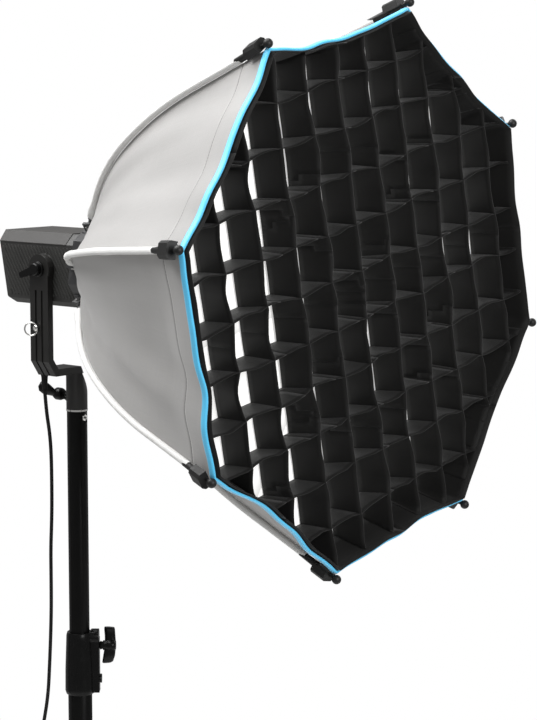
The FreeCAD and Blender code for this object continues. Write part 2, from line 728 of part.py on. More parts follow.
def make_leg_collar():
    """The sliding hub that the legs hang from, with its locking screw's boss."""
    low, high = LEG_PIVOT_HEIGHT - 15, LEG_PIVOT_HEIGHT + 15
    sleeve = pipe(20.0, BASE_TUBE_RADIUS + RUNNING_GAP, column_point(low), column_point(high))
    shapes = [sleeve] + hub_lugs(LEG_PIVOT_HEIGHT, low + 7, high - 7, 6.4, 9.4)
    boss = bar(7.5, column_point(LEG_PIVOT_HEIGHT, 17), column_point(LEG_PIVOT_HEIGHT, 27))
    shapes.append(around_column(boss, LEG_KNOB_AZIMUTH))
    body = joined(shapes).cut(bar(BASE_TUBE_RADIUS + RUNNING_GAP, column_point(0), column_point(700)))
    hole = bar(3.0 + RUNNING_GAP, column_point(LEG_PIVOT_HEIGHT, 14), column_point(LEG_PIVOT_HEIGHT, 40))
    return body.cut(around_column(hole, LEG_KNOB_AZIMUTH))


def make_leg_knob():
    at = column_point(LEG_PIVOT_HEIGHT)
    stem = bar(3.0, at + X * 15.2, at + X * 30)
    hub = turned([(0, 27.6), (8, 27.6), (9, 30), (9, 36), (6, 40), (0, 40)], at, X)
    leaf = [(30, 18), (36, 19), (40, 8), (41, 0), (40, -8), (36, -19), (30, -18), (29, -8), (29, 8)]
    return around_column(joined([stem, hub, wing(leaf, at, X, Z, 8.0)]), LEG_KNOB_AZIMUTH)


def leg_frame():
    """A leg along +X: its pivot, and its direction down to the foot."""
    spread = math.radians(LEG_SPREAD)
    pivot = column_point(LEG_PIVOT_HEIGHT, HINGE_REACH)
    return pivot, point(math.sin(spread), 0, -math.cos(spread))


def make_leg():
    pivot, along = leg_frame()
    tube = bar(LEG_RADIUS, pivot + along * 14.0, pivot + along * (LEG_LENGTH - 18.0))
    bore = bar(LEG_RADIUS - 1.5, pivot + along * 30.0, pivot + along * (LEG_LENGTH - 10.0))
    across = point(along.z, 0, -along.x)
    eye = bar(7.0, pivot - Y * 6.0, pivot + Y * 6.0)
    corners = [
        pivot + across * 6.0 - Y * 6.0,
        pivot - across * 6.0 - Y * 6.0,
        pivot - across * 6.0 + along * 24.0 - Y * 6.0,
        pivot + across * 6.0 + along * 24.0 - Y * 6.0,
    ]
    tongue = prism(corners, Y * 12.0)
    hole = bar(2.55, pivot - Y * 10, pivot + Y * 10)
    return joined([tube, eye, tongue]).cut(bore).cut(hole)


def make_foot():
    """A rubber boot on the leg's end, flat where it stands on the floor."""
    pivot, along = leg_frame()
    end = pivot + along * (LEG_LENGTH + 14.0)
    boot = bar(FOOT_RADIUS, pivot + along * (LEG_LENGTH - 34.0), end)
    seat = bar(LEG_RADIUS, pivot + along * (LEG_LENGTH - 40.0), pivot + along * (LEG_LENGTH - 18.0))
    below_floor = block(point(0, COLUMN_Y - 30, -60), point(700, COLUMN_Y + 30, 0))
    return boot.cut(seat).cut(below_floor)


def make_brace():
    """Two flat bars, one each side of the leg and of the hub's tongue, tied by two spacers."""
    spread = math.radians(LEG_SPREAD)
    start = column_point(BRACE_PIVOT_HEIGHT, HINGE_REACH)
    along = point(math.sin(spread), 0, math.cos(spread))
    across = point(-along.z, 0, along.x)
    shapes = []
    for side in (-1, 1):
        face = 8.6 if side > 0 else -10.6
        middle = prism(
            [
                start + across * 5 + Y * face,
                start - across * 5 + Y * face,
                start - across * 5 + along * BRACE_LENGTH + Y * face,
                start + across * 5 + along * BRACE_LENGTH + Y * face,
            ],
            Y * 2.0,
        )
        ends = [
            bar(6.5, start + along * place + Y * face, start + along * place + Y * (face + 2.0))
            for place in (0.0, BRACE_LENGTH)
        ]
        end = start + along * BRACE_LENGTH
        head = bar(4.0, end + Y * 10.6 * side, end + Y * 12.2 * side)
        shapes += [middle, head] + ends
    ties = [
        bar(2.5, start + along * place - Y * 9.0, start + along * place + Y * 9.0)
        for place in (55.0, 115.0)
    ]
    hole = bar(2.55, start - Y * 12, start + Y * 12)
    return joined(shapes + ties).cut(hole)


def make_stand():
    top = column_point(COLLAR_BOTTOM + 53.5)
    save("base_tube", pipe(BASE_TUBE_RADIUS, BASE_TUBE_BORE, column_point(BASE_TUBE_BOTTOM), top))
    save("top_tube", make_top_tube())
    save("spigot", make_spigot())
    save("lock_collar", make_lock_collar())
    save("collar_knob", make_collar_knob())
    save("brace_hub", make_brace_hub())
    save("leg_collar", make_leg_collar())
    save("leg_knob", make_leg_knob())
    leg, foot, brace = make_leg(), make_foot(), make_brace()
    for number, azimuth in enumerate(LEG_AZIMUTHS, 1):
        save("leg_%d" % number, around_column(leg, azimuth))
        save("foot_%d" % number, around_column(foot, azimuth))
        save("brace_%d" % number, around_column(brace, azimuth))


# ---- lead
LEAD_TOP = [(-44, 9, -143.5), (-40.5, 10.5, -169), (-31.5, 14.5, -197), (-26, 18, -225), (-24, 20, -250)]
LEAD_DROP = [
    (-24, 20, -250.5), (-23.5, 20.5, -277), (-24.5, 20.5, -307), (-27, 20, -339), (-27.5, 19.5, -374),
    (-27.8, 19.5, -410), (-29, 20, -446), (-31, 20.5, -482), (-34, 20.5, -518), (-41, 21, -550),
    (-50, 22, -583), (-57, 23.5, -618), (-62.5, 24.8, -655), (-66.5, 25.6, -693), (-69, 26, -732),
    (-70.5, 25.8, -771), (-71.6, 25, -810), (-72.8, 24, -849), (-74.4, 23, -888), (-76.8, 22.4, -926),
    (-80, 22.4, -963), (-84, 23.2, -998), (-88.5, 25.2, -1031), (-93, 28.4, -1061), (-97.5, 32.8, -1090),
    (-103, 38.6, -1116), (-111.5, 46.2, -1134.5), (-123, 53.6, -1145), (-136, 59, -1147.8),
    (-150, 60.8, -1147.8),
]


def lead_tube(route):
    """Straight runs joined by tangent arcs, as wide as each pair of runs allows."""
    corners = [lamp_point(*place) for place in route]
    edges, radii = [], []
    start = corners[0]
    for before, corner, after in zip(corners, corners[1:], corners[2:]):
        arriving, leaving = corner - before, after - corner
        turn = arriving.getAngle(leaving)
        shorter = min(arriving.Length, leaving.Length)
        radii.append(0.45 * shorter / math.tan(turn / 2))
        cut_back = 0.45 * shorter
        first = corner - arriving / arriving.Length * cut_back
        last = corner + leaving / leaving.Length * cut_back
        towards = (first + last) / 2 - corner
        centre = corner + towards / towards.Length * (radii[-1] / math.cos(turn / 2))
        middle = centre + (corner - centre) / (corner - centre).Length * radii[-1]
        edges += [Part.makeLine(start, first), Part.Arc(first, middle, last).toShape()]
        start = last
    edges.append(Part.makeLine(start, corners[-1]))
    path = Part.Wire(edges)
    section = Part.Wire(Part.makeCircle(LEAD_DIAMETER / 2, corners[0], corners[1] - corners[0]))
    tube = path.makePipeShell([section], True, False)
    expected = math.pi * LEAD_DIAMETER ** 2 / 4 * path.Length
    report = "lead: length %.1f, smallest radius %.1f, volume over section x length %.4f"
    print(report % (path.Length, min(radii), tube.Volume / expected))
    return tube


def make_coil():
    """The outer shape of the coiled part of the lead, lying on the floor."""
    wide = LEAD_DIAMETER * 2
    narrow = LEAD_DIAMETER
    tall = LEAD_DIAMETER + 2 * LAYER_RISE
    outline = [
        (COIL_TURN_RADIUS - wide, 0),
        (COIL_TURN_RADIUS + wide, 0),
        (COIL_TURN_RADIUS + wide, LEAD_DIAMETER),
        (COIL_TURN_RADIUS + narrow, tall),
        (COIL_TURN_RADIUS - narrow, tall),
        (COIL_TURN_RADIUS - wide, LEAD_DIAMETER),
    ]
    return turned(outline, COLUMN_FOOT + point(*COIL_CENTRE, 0), Z)


def make_plug():
    """A low-voltage barrel plug, lying on the coil."""
    rest = LEAD_DIAMETER + 2 * LAYER_RISE + 5.1
    inner_turn = COIL_TURN_RADIUS - LEAD_DIAMETER
    tail = COLUMN_FOOT + point(COIL_CENTRE[0] - 8.0, COIL_CENTRE[1] - inner_turn, rest)
    outline = [
        (0, 0), (2.6, 0), (3.6, 9), (5.0, 9.5), (5.0, 26), (4.4, 27),
        (2.75, 27), (2.75, 36.5), (1.25, 36.5), (1.25, 28), (0, 28),
    ]
    return turned(outline, tail, X)


def make_lead():
    save("lead_upper", lead_tube(LEAD_TOP))
    save("lead_lower", lead_tube(LEAD_DROP))
    save("lead_coil", make_coil())
    save("lead_plug", make_plug())


os.makedirs("parts", exist_ok=True)
make_softbox()
make_lamp()
make_all_yoke()
make_stand()
make_lead()
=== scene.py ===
import bmesh
import bpy
import random
from math import atan2, copysign, cos, exp, floor, hypot, pi, radians, sin, sqrt, tan, tau
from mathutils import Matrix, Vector, noise


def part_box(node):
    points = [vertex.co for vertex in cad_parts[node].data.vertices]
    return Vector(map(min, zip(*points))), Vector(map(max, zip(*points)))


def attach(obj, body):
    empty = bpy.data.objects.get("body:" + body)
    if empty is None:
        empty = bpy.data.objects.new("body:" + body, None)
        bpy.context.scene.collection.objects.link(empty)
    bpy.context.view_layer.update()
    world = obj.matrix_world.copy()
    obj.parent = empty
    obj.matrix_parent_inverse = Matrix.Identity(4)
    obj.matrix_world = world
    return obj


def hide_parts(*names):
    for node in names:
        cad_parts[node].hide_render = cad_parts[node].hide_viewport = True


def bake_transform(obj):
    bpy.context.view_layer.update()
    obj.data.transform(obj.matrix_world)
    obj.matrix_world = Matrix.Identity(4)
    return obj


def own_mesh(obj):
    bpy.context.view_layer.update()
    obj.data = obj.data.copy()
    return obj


# An octagonal studio softbox on a compact LED lamp head, held by a one-armed yoke on a light stand.
# Metres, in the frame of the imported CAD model: +Z is up and the softbox faces -Y.

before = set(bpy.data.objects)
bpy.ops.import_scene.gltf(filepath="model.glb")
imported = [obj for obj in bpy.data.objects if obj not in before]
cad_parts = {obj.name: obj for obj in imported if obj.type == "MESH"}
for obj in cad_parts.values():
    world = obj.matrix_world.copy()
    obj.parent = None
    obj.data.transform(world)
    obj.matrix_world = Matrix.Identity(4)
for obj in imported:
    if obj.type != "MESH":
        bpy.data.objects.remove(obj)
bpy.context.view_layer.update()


# ---- places taken from the frame
def middle(node):
    low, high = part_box(node)
    return (low + high) / 2


AXIS_HEIGHT = middle("mount_ring").z
COLUMN_Y = middle("base_tube").y
PIPING_WIDTH = 0.007
PIPING_STEPS = 24
RIM_DEPTH = 0.006
FRONT_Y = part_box("rim_piping")[0].y + PIPING_WIDTH - RIM_DEPTH
UP = Vector((0, 0, 1))
BACK = Vector((0, 1, 0))
RIGHT = Vector((1, 0, 0))

# ---- the softbox, as in the CAD source
RIB_COUNT = 8
RIBS = ["rib_%d" % (n + 1) for n in range(RIB_COUNT)]  # the bodies that the cloth rides on
RIB_STEP = radians(360 / RIB_COUNT)
HALF_SINE = sin(RIB_STEP / 2)  # half a panel's width, as a share of its ribs' radius
FIRST_RIB = radians(11.25)
PIVOT_RADIUS = 0.066
PIVOT_DEPTH = 0.382
RIB_START = radians(56.89)
RIB_BENDS = [(0.16, radians(23.02)), (0.16, radians(11.70)), (0.1397, 0.0)]
RIB_LENGTH = sum(length for length, turn in RIB_BENDS)
RIB_FOLD = radians(35)
LEAST_FOLDED = 0.05  # the smallest radius that folded cloth is counted at
SLEEVE_START = 0.009  # along a rib, from its pivot
SLEEVE_END = RIB_LENGTH - 0.048
SLEEVE_STEPS = 60
SLEEVE_HALVES = (0.0037, 0.0035)  # half its width and height
CLOTH_GAP = 0.0045
DIFFUSER_DEPTH = 0.042
DIFFUSER_THICKNESS = 0.0007
DIFFUSER_STEPS = 14  # outwards, and 12 from side to side
GRID_PITCH = 0.0504
GRID_CELLS = 11
CELL_STEPS = 8  # mesh steps along one cell
GRID_FRONT = 0.001
GRID_BACK = 0.0405
GRID_WIDTH = GRID_BACK - GRID_FRONT

# ---- how the cloth hangs
SHELL_START = 0.016  # along a rib, from its pivot
SHELL_END = 0.4514
HALF_PANEL = 14  # mesh steps across half a panel
PANEL_DIP = 0.0085  # how far a panel's middle is drawn in between its ribs
RIM_SCALLOP = 0.004675  # how far the rim curves in between two tips, besides the dip
RIM_RIPPLE = 0.0036
FOLDS = ((3.1, 0.0011), (5.3, 0.0008), (8.2, 0.0003))  # number across a panel, height
DENT = 0.0016
HEM_GROOVE = 0.0006
# for each panel, from the top rib round to the right: how loose it is, and how far its rim curves in
FOLD_SIZE = [1.0, 1.0, 1.0, 1.0, 1.2, 2.0, 1.1, 1.0]
RIM_SLACK = [1.0, 0.4, 0.35, 0.6, 0.75, -0.05, 0.3, 1.05]
HEM = 0.412  # the stitched hem, along a rib
HEM_STEP = 0.0016  # between the rows at the hem
ROW_STEP = 0.0085
SHELL_ZONES = [SHELL_START, 0.085, 0.19, SHELL_END]
CLOTH_THICKNESS = 0.0009
BORDER_FRONT = -0.004  # the grid's sewn edge stands a little proud of the rim
BORDER_ROWS = 4
BORDER_STEPS = 32
STRIP_THICKNESS = 0.0011
KNOT_SHIFT = 0.0046  # how far a crossing hangs from its even place
STRIP_BELLY = 0.0036  # how far a strip bellies between two crossings
# how far the front edge of each upright strip leans over, from the left
LEAN = [0, 0.0004, 0.0046, 0.0066, 0.0066, 0.0058, 0.0046, 0.003, 0.001, 0, 0]
GRID_SHIFT = 0.008  # how far the upright strips hang to one side
FRONT_GAP = 0.0024  # between the shell's face and the front cloths
INNER_FRONT = 0.15  # the front cloths are parted here, so that they can fold

# ---- the lamp, in millimetres from the column's axis and the softbox's axis
LAMP_HALF_WIDTH = 50
REAR_SLANT = 16 / 85
RIB_SLOPE = radians(57)  # of the fine ribs moulded on its sides
RIB_SPACING = 4.6
RIB_AREAS = {
    -1: [[(-49, -32), (60, -32), (71, 26.5), (-49, 26.5)]],
    1: [[(-49, -32), (1, -32), (1, 26.5), (-49, 26.5)], [(48, -32), (60, -32), (71, 26.5), (48, 26.5)]],
}
COVER = [(-50.6, 29.2), (-50.6, 30.4), (-38.4, 42.8), (38.4, 42.8), (50.6, 30.4), (50.6, 29.2)]
COVER_INSIDE = [(-50.1, 29.2), (-50.1, 30.1), (-38.1, 42.1), (38.1, 42.1), (50.1, 30.1), (50.1, 29.2)]
COVER_FRONT = -35.5

# ---- camera, lights and floor: places from the softbox's front centre, or in the room
LENS = 109.25
CAMERA_PLACE = (-1.814, -1.405, 0.221)
CAMERA_LOOK = (0.754, 0.6443, -0.1278)
LIGHTS = {  # place, size and watts
    "top_light": ((-0.35, 0.1, 2.6), (1.8, 1.4), 46),
    "back_light": ((-1.0, 1.5, 3.4), (1.6, 1.6), 46),
    "front_light": ((-0.6, -2.4, 1.7), (1.0, 1.4), 38),
    "side_light": ((1.9, -0.6, 1.7), (0.9, 1.6), 10),
}
ROOM_LIGHT = 0.33
FLOOR_RADIUS = 1.25

# ---- the lead, in the same millimetres, as in the CAD source
LEAD_DIAMETER = 0.0044
LEAD_TOP = [
    (-44, 9, -143.5), (-40.5, 10.5, -169), (-31.5, 14.5, -197), (-26, 18, -225), (-24, 20, -250),
]
LEAD_DROP = [
    (-24, 20, -250.5), (-23.5, 20.5, -277), (-24.5, 20.5, -307), (-27, 20, -339), (-27.5, 19.5, -374),
    (-27.8, 19.5, -410), (-29, 20, -446), (-31, 20.5, -482), (-34, 20.5, -518), (-41, 21, -550),
    (-50, 22, -583), (-57, 23.5, -618), (-62.5, 24.8, -655), (-66.5, 25.6, -693), (-69, 26, -732),
    (-70.5, 25.8, -771), (-71.6, 25, -810), (-72.8, 24, -849), (-74.4, 23, -888), (-76.8, 22.4, -926),
    (-80, 22.4, -963), (-84, 23.2, -998), (-88.5, 25.2, -1031), (-93, 28.4, -1061),
    (-97.5, 32.8, -1090), (-103, 38.6, -1116), (-111.5, 46.2, -1134.5), (-123, 53.6, -1145),
    (-136, 59, -1147.8), (-150, 60.8, -1147.8),
]
COIL_CENTRE = Vector((-0.15, COLUMN_Y + 0.03, 0))
COIL_RADII = [30.8, 26.4, 22.0, 17.6, 19.8, 24.2, 28.6, 26.4, 22.0]
COIL_LAYER = [0, 0, 0, 0, 1, 1, 1, 2, 2]
COIL_TURNS = 8
COIL_STEPS = 16
LAYER_RISE = 0.87 * LEAD_DIAMETER


# ---- camera, lights and floor
def add_object(name, data):
    item = bpy.data.objects.new(name, data)
    bpy.context.scene.collection.objects.link(item)
    return item


def make_camera():
    data = bpy.data.cameras.new("camera")
    data.lens = LENS
    data.sensor_width = 36
    data.clip_start = 0.05
    camera = add_object("camera", data)
    x, y, z = CAMERA_PLACE
    camera.location = Vector((x, FRONT_Y + y, AXIS_HEIGHT + z))
    camera.rotation_euler = Vector(CAMERA_LOOK).to_track_quat("-Z", "Y").to_euler()
    bpy.context.scene.camera = camera


def area_light(name, place, aim, size, power):
    data = bpy.data.lights.new(name, "AREA")
    data.shape = "RECTANGLE"
    data.size, data.size_y = size
    data.energy = power
    light = add_object(name, data)
    light.location = place
    light.rotation_euler = (Vector(aim) - Vector(place)).to_track_quat("-Z", "Y").to_euler()
    light.visible_camera = False


def make_lights():
    scene = bpy.context.scene
    scene.view_settings.view_transform = "Standard"
    world = bpy.data.worlds.new("studio")
    scene.world = world
    world.use_nodes = True
    nodes, links = world.node_tree.nodes, world.node_tree.links
    ground = nodes["Background"]
    plain = nodes.new("ShaderNodeBackground")
    set_values(ground, {"Color": (1, 1, 1, 1), "Strength": ROOM_LIGHT})
    set_values(plain, {"Color": (1, 1, 1, 1)})
    seen = nodes.new("ShaderNodeLightPath")
    mix = nodes.new("ShaderNodeMixShader")
    links.new(seen.outputs["Is Camera Ray"], mix.inputs["Fac"])
    links.new(ground.outputs[0], mix.inputs[1])
    links.new(plain.outputs[0], mix.inputs[2])
    links.new(mix.outputs[0], nodes["World Output"].inputs["Surface"])
    heart = (0, FRONT_Y + 0.15, AXIS_HEIGHT)
    for name, (place, size, power) in LIGHTS.items():
        area_light(name, place, heart, size, power)


def make_floor():
    bm = bmesh.new()
    bmesh.ops.create_circle(bm, cap_ends=True, segments=96, radius=FLOOR_RADIUS)
    ground = link_mesh("floor", bm)
    ground.location = (0, 0, -0.0006)
    material, nodes = start_material("floor_paint", (0.8, 0.8, 0.79), 0.75)
    grain = nodes.noise(nodes.place(), 3.0, 3)
    nodes.colour(nodes.blend(grain, (0.77, 0.77, 0.76), (0.83, 0.83, 0.82)))
    ground.data.materials.append(material)


# ---- mesh tools
def link_mesh(name, bm):
    mesh = bpy.data.meshes.new(name)
    bm.to_mesh(mesh)
    bm.free()
    return add_object(name, mesh)


SKINS = {}


def paint(piece, look):
    piece.data.materials.clear()
    piece.data.materials.append(SKINS[look])


def finish_piece(piece, body, look):
    paint(piece, look)
    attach(piece, body)
    return piece


def add_part(name, bm, body, look):
    """A hard piece that rides on a body."""
    bmesh.ops.recalc_face_normals(bm, faces=bm.faces)
    return finish_piece(link_mesh(name, bm), body, look)


def weave_map(bm):
    """Places on the flat cloth. The layer has to be there before any corner is made."""
    return bm.loops.layers.uv.get("weave") or bm.loops.layers.uv.new("weave")


def mapped_face(bm, verts, marks):
    """A smooth face, with marks giving each corner's place on the flat cloth."""
    layer = weave_map(bm)
    face = bm.faces.new(verts)
    face.smooth = True
    for loop, mark in zip(face.loops, marks):
        loop[layer].uv = mark


def lay_patch(bm, points, marks):
    """Quads over a grid of points and their marks."""
    weave_map(bm)
    verts = [[bm.verts.new(p) for p in row] for row in points]
    for i in range(len(points) - 1):
        for j in range(len(points[0]) - 1):
            corners = [(i, j), (i, j + 1), (i + 1, j + 1), (i + 1, j)]
            mapped_face(bm, [verts[a][b] for a, b in corners], [marks[a][b] for a, b in corners])
    return verts


def thick_patch(bm, points, normals, marks, thickness):
    """A closed sheet over a grid of points. Returns the normals of its vertices."""
    inner = [[p - n * thickness for p, n in zip(row, line)] for row, line in zip(points, normals)]
    outside = lay_patch(bm, points, marks)
    inside = lay_patch(bm, [row[::-1] for row in inner], [row[::-1] for row in marks])
    inside = [row[::-1] for row in inside]
    rows, columns = len(points), len(points[0])
    border = [(0, j) for j in range(columns)]
    border += [(i, columns - 1) for i in range(1, rows)]
    border += [(rows - 1, j) for j in range(columns - 2, -1, -1)]
    border += [(i, 0) for i in range(rows - 2, 0, -1)]
    for (a, b), (c, d) in zip(border, border[1:] + border[:1]):
        bm.faces.new([outside[a][b], inside[a][b], inside[c][d], outside[c][d]]).smooth = True
    shown = [n for line in normals for n in line]
    hidden = [-n for line in normals for n in line[::-1]]
    return shown + hidden


def sweep(bm, points, ups, profile, scales=None):
    """A tube with a profile of (side, up) offsets, along points that each have an up direction."""
    weave_map(bm)
    count = len(points)
    rings, lengths, along = [], [], 0.0
    for i, p in enumerate(points):
        tangent = (points[min(i + 1, count - 1)] - points[max(i - 1, 0)]).normalized()
        side = tangent.cross(ups[i]).normalized()
        up = side.cross(tangent)
        grow = scales[i] if scales else 1.0
        rings.append([bm.verts.new(p + (side * a + up * b) * grow) for a, b in profile])
        along += (p - points[i - 1]).length if i else 0.0
        lengths.append(along)
    around = [0.0]
    for (a, b), (c, d) in zip(profile, profile[1:] + profile[:1]):
        around.append(around[-1] + hypot(c - a, d - b))
    size = len(profile)
    for i in range(count - 1):
        for j in range(size):
            places = [(j, i), (j + 1, i), (j + 1, i + 1), (j, i + 1)]
            corners = [rings[b][a % size] for a, b in places]
            mapped_face(bm, corners, [(around[a], lengths[b]) for a, b in places])
    for cap in (rings[0][::-1], rings[-1]):
        bm.faces.new([bm.verts.new(v.co) for v in cap])


def round_profile(radius, steps):
    return [(radius * cos(tau * i / steps), radius * sin(tau * i / steps)) for i in range(steps)]


def oval_profile(half_width, half_height, steps, power):
    """A rounded box outline."""
    outline = []
    for i in range(steps):
        a = tau * (i + 0.5) / steps
        x = copysign(abs(cos(a)) ** power, cos(a))
        y = copysign(abs(sin(a)) ** power, sin(a))
        outline.append((half_width * x, half_height * y))
    return outline


def carried_ups(points):
    """An up direction at each point, carried along without twisting."""
    ups, up = [], RIGHT
    for i in range(len(points)):
        tangent = (points[min(i + 1, len(points) - 1)] - points[max(i - 1, 0)]).normalized()
        up = (up - tangent * up.dot(tangent)).normalized()
        ups.append(up.copy())
    return ups


def spread(low, high, count):
    return [low + (high - low) * i / count for i in range(count + 1)]


def mm(rows):
    return [tuple(value / 1000 for value in row) for row in rows]


def turned(bm, outline, origin, axis, steps=40):
    """A lathe-turned shape from (radius, height) points in millimetres."""
    side = axis.orthogonal().normalized()
    other = axis.cross(side)
    rings = []
    for radius, height in mm(outline):
        centre = origin + axis * height
        ring = []
        for i in range(steps):
            a = tau * i / steps
            ring.append(bm.verts.new(centre + (side * cos(a) + other * sin(a)) * radius))
        rings.append(ring)
    join_rings(bm, rings)


def join_rings(bm, rings, smooth=True, capped=True):
    """Faces between rings of corners, and across the first and the last ring."""
    for low, high in zip(rings, rings[1:]):
        for i in range(len(low)):
            j = (i + 1) % len(low)
            bm.faces.new([low[i], low[j], high[j], high[i]]).smooth = smooth
    if capped:
        bm.faces.new(rings[0][::-1])
        bm.faces.new(rings[-1])


# ---- material tools
def set_values(node, values):
    for name, value in values.items():
        node.inputs[name].default_value = value


class Nodes:
    """Short names for the nodes that the materials are built from."""

    def __init__(self, material, shader):
        self.tree = material.node_tree
        self.shader = shader

    def new(self, kind, values=None, **settings):
        node = self.tree.nodes.new(kind)
        for name, value in settings.items():
            setattr(node, name, value)
        set_values(node, values or {})
        return node

    def link(self, source, target):
        if isinstance(source, (int, float)):
            target.default_value = source
        elif isinstance(source, tuple):
            target.default_value = (*source, 1)
        else:
            self.tree.links.new(source, target)

    def mapped(self, source, scale):
        mapping = self.new("ShaderNodeMapping", {"Scale": scale})
        self.link(source, mapping.inputs["Vector"])
        return mapping.outputs["Vector"]

    def place(self, scale=(1, 1, 1)):
        return self.mapped(self.new("ShaderNodeTexCoord").outputs["Object"], scale)

    def noise(self, place, scale, detail, rough=0.5):
        values = {"Scale": scale, "Detail": detail, "Roughness": rough}
        node = self.new("ShaderNodeTexNoise", values)
        self.link(place, node.inputs["Vector"])
        return node.outputs["Fac"]

    def math(self, kind, a, b=0.0):
        node = self.new("ShaderNodeMath", operation=kind)
        self.link(a, node.inputs[0])
        self.link(b, node.inputs[1])
        return node.outputs[0]

    def times(self, a, b):
        return self.math("MULTIPLY", a, b)

    def range(self, value, low, high, to_low=0.0, to_high=1.0):
        values = {"From Min": low, "From Max": high, "To Min": to_low, "To Max": to_high}
        node = self.new("ShaderNodeMapRange", values)
        self.link(value, node.inputs["Value"])
        return node.outputs["Result"]

    def blend(self, share, first, second):
        node = self.new("ShaderNodeMix", data_type="RGBA")
        self.link(share, node.inputs["Factor"])
        self.link(first, node.inputs["A"])
        self.link(second, node.inputs["B"])
        return node.outputs["Result"]

    def colour(self, source):
        self.link(source, self.shader.inputs["Base Color"])

    def roughness(self, source):
        self.link(source, self.shader.inputs["Roughness"])

    def bump(self, height, distance, strength):
        node = self.new("ShaderNodeBump", {"Strength": strength, "Distance": distance})
        self.link(height, node.inputs["Height"])
        self.link(node.outputs["Normal"], self.shader.inputs["Normal"])


def start_material(name, colour, roughness, metallic=0.0, sheen=0.0, coat=0.0, specular=0.5):
    material = bpy.data.materials.new(name)
    material.use_nodes = True
    shader = material.node_tree.nodes["Principled BSDF"]
    set_values(shader, {
        "Base Color": (*colour, 1), "Roughness": roughness, "Metallic": metallic,
        "Sheen Weight": sheen, "Coat Weight": coat, "Specular IOR Level": specular,
    })
    return material, Nodes(material, shader)


def shade(colour, factor):
    return tuple(min(1.0, c * factor) for c in colour)


def plastic(name, colour, roughness, grain, specular=0.5, coat=0.0):
    """Moulded plastic or fine paint: a pebbled surface, faint scuffs and a slight change of colour."""
    material, nodes = start_material(name, colour, roughness, coat=coat, specular=specular)
    place = nodes.place()
    cloudy = nodes.noise(place, 38, 3)
    scuffs = nodes.range(nodes.noise(nodes.place((1, 1, 0.16)), 420, 5, 0.62), 0.6, 0.74)
    uneven = nodes.blend(cloudy, shade(colour, 0.82), shade(colour, 1.25))
    nodes.colour(nodes.blend(scuffs, uneven, shade(colour, 1.9)))
    nodes.roughness(nodes.math("ADD", nodes.range(cloudy, 0, 1, roughness - 0.07, roughness + 0.09),
                               nodes.times(scuffs, 0.12)))
    nodes.bump(nodes.noise(place, 2600, 2), grain, 0.8)
    return material


def metal(name, colour, roughness):
    """Turned or drawn metal, with fine lines across its length."""
    material, nodes = start_material(name, colour, roughness, metallic=1.0)
    lines = nodes.noise(nodes.place((1, 1, 8)), 900, 4, 0.6)
    dull = nodes.noise(nodes.place(), 55, 3)
    nodes.colour(nodes.blend(dull, shade(colour, 0.86), shade(colour, 1.08)))
    nodes.roughness(nodes.math("ADD", nodes.range(lines, 0.2, 0.8, roughness * 0.7, roughness * 1.2),
                               nodes.range(dull, 0, 1, -0.03, 0.07)))
    nodes.bump(lines, 2e-5, 0.6)
    return material


def cloth(name, colour, roughness, pitch, depth, sheen, contrast, cloudy_by, specular=0.5, hem=False):
    """Plain-woven cloth. The weave follows the flat cloth, and threads differ a little in shade."""
    material, nodes = start_material(name, colour, roughness, sheen=sheen, specular=specular)
    place = nodes.new("ShaderNodeUVMap", uv_map="weave").outputs["UV"]
    parted = nodes.new("ShaderNodeSeparateXYZ")
    nodes.link(place, parted.inputs[0])
    across, along = parted.outputs[:2]
    turns = [nodes.times(way, tau / pitch) for way in (across, along)]
    waves = [nodes.math("SINE", turn) for turn in turns]
    weave = nodes.range(nodes.times(*waves), -1, 1)
    threads = [
        nodes.times(nodes.noise(nodes.mapped(place, scale), 1.0, 2), 0.5)
        for scale in ((18, 900, 1), (900, 18, 1))
    ]
    uneven = nodes.math("ADD", *threads)
    cloudy = nodes.noise(nodes.place(), 9, 4)
    tone = nodes.math("ADD", nodes.times(weave, 0.35), nodes.times(uneven, 0.65))
    darker, lighter = shade(colour, 1 - contrast), shade(colour, 1 + contrast)
    fine = nodes.blend(nodes.range(tone, 0.25, 0.75), darker, lighter)
    soft = nodes.blend(nodes.range(cloudy, 0.3, 0.7), (1 - cloudy_by,) * 3, (1.0, 1.0, 1.0))
    tinted = nodes.new("ShaderNodeMix", {"Factor": 1.0}, data_type="RGBA", blend_type="MULTIPLY")
    nodes.link(fine, tinted.inputs["A"])
    nodes.link(soft, tinted.inputs["B"])
    colour_out = tinted.outputs["Result"]
    height = nodes.math("ADD", weave, nodes.times(uneven, 0.6))
    if hem:
        colour_out, height = add_stitching(nodes, across, along, colour_out, height)
    nodes.colour(colour_out)
    nodes.roughness(nodes.range(tone, 0.2, 0.8, roughness + 0.06, roughness - 0.06))
    nodes.bump(height, depth, 0.7)
    return material


def add_stitching(nodes, across, along, colour, height):
    """The hem's row of stitches: dark thread in a shallow groove, a few millimetres long each."""
    off_line = nodes.math("ABSOLUTE", nodes.math("SUBTRACT", along, HEM))
    groove = nodes.range(off_line, 0.0004, 0.001, 1.0, 0.0)
    gaps = nodes.math("SINE", nodes.times(across, tau / 0.0034))
    thread = nodes.times(groove, nodes.range(gaps, -0.75, -0.35, 0.55, 1.0))
    dark = nodes.blend(nodes.times(thread, 0.8), colour, (0.055, 0.052, 0.05))
    lowered = nodes.math("SUBTRACT", height, nodes.times(groove, 3.0))
    return dark, lowered


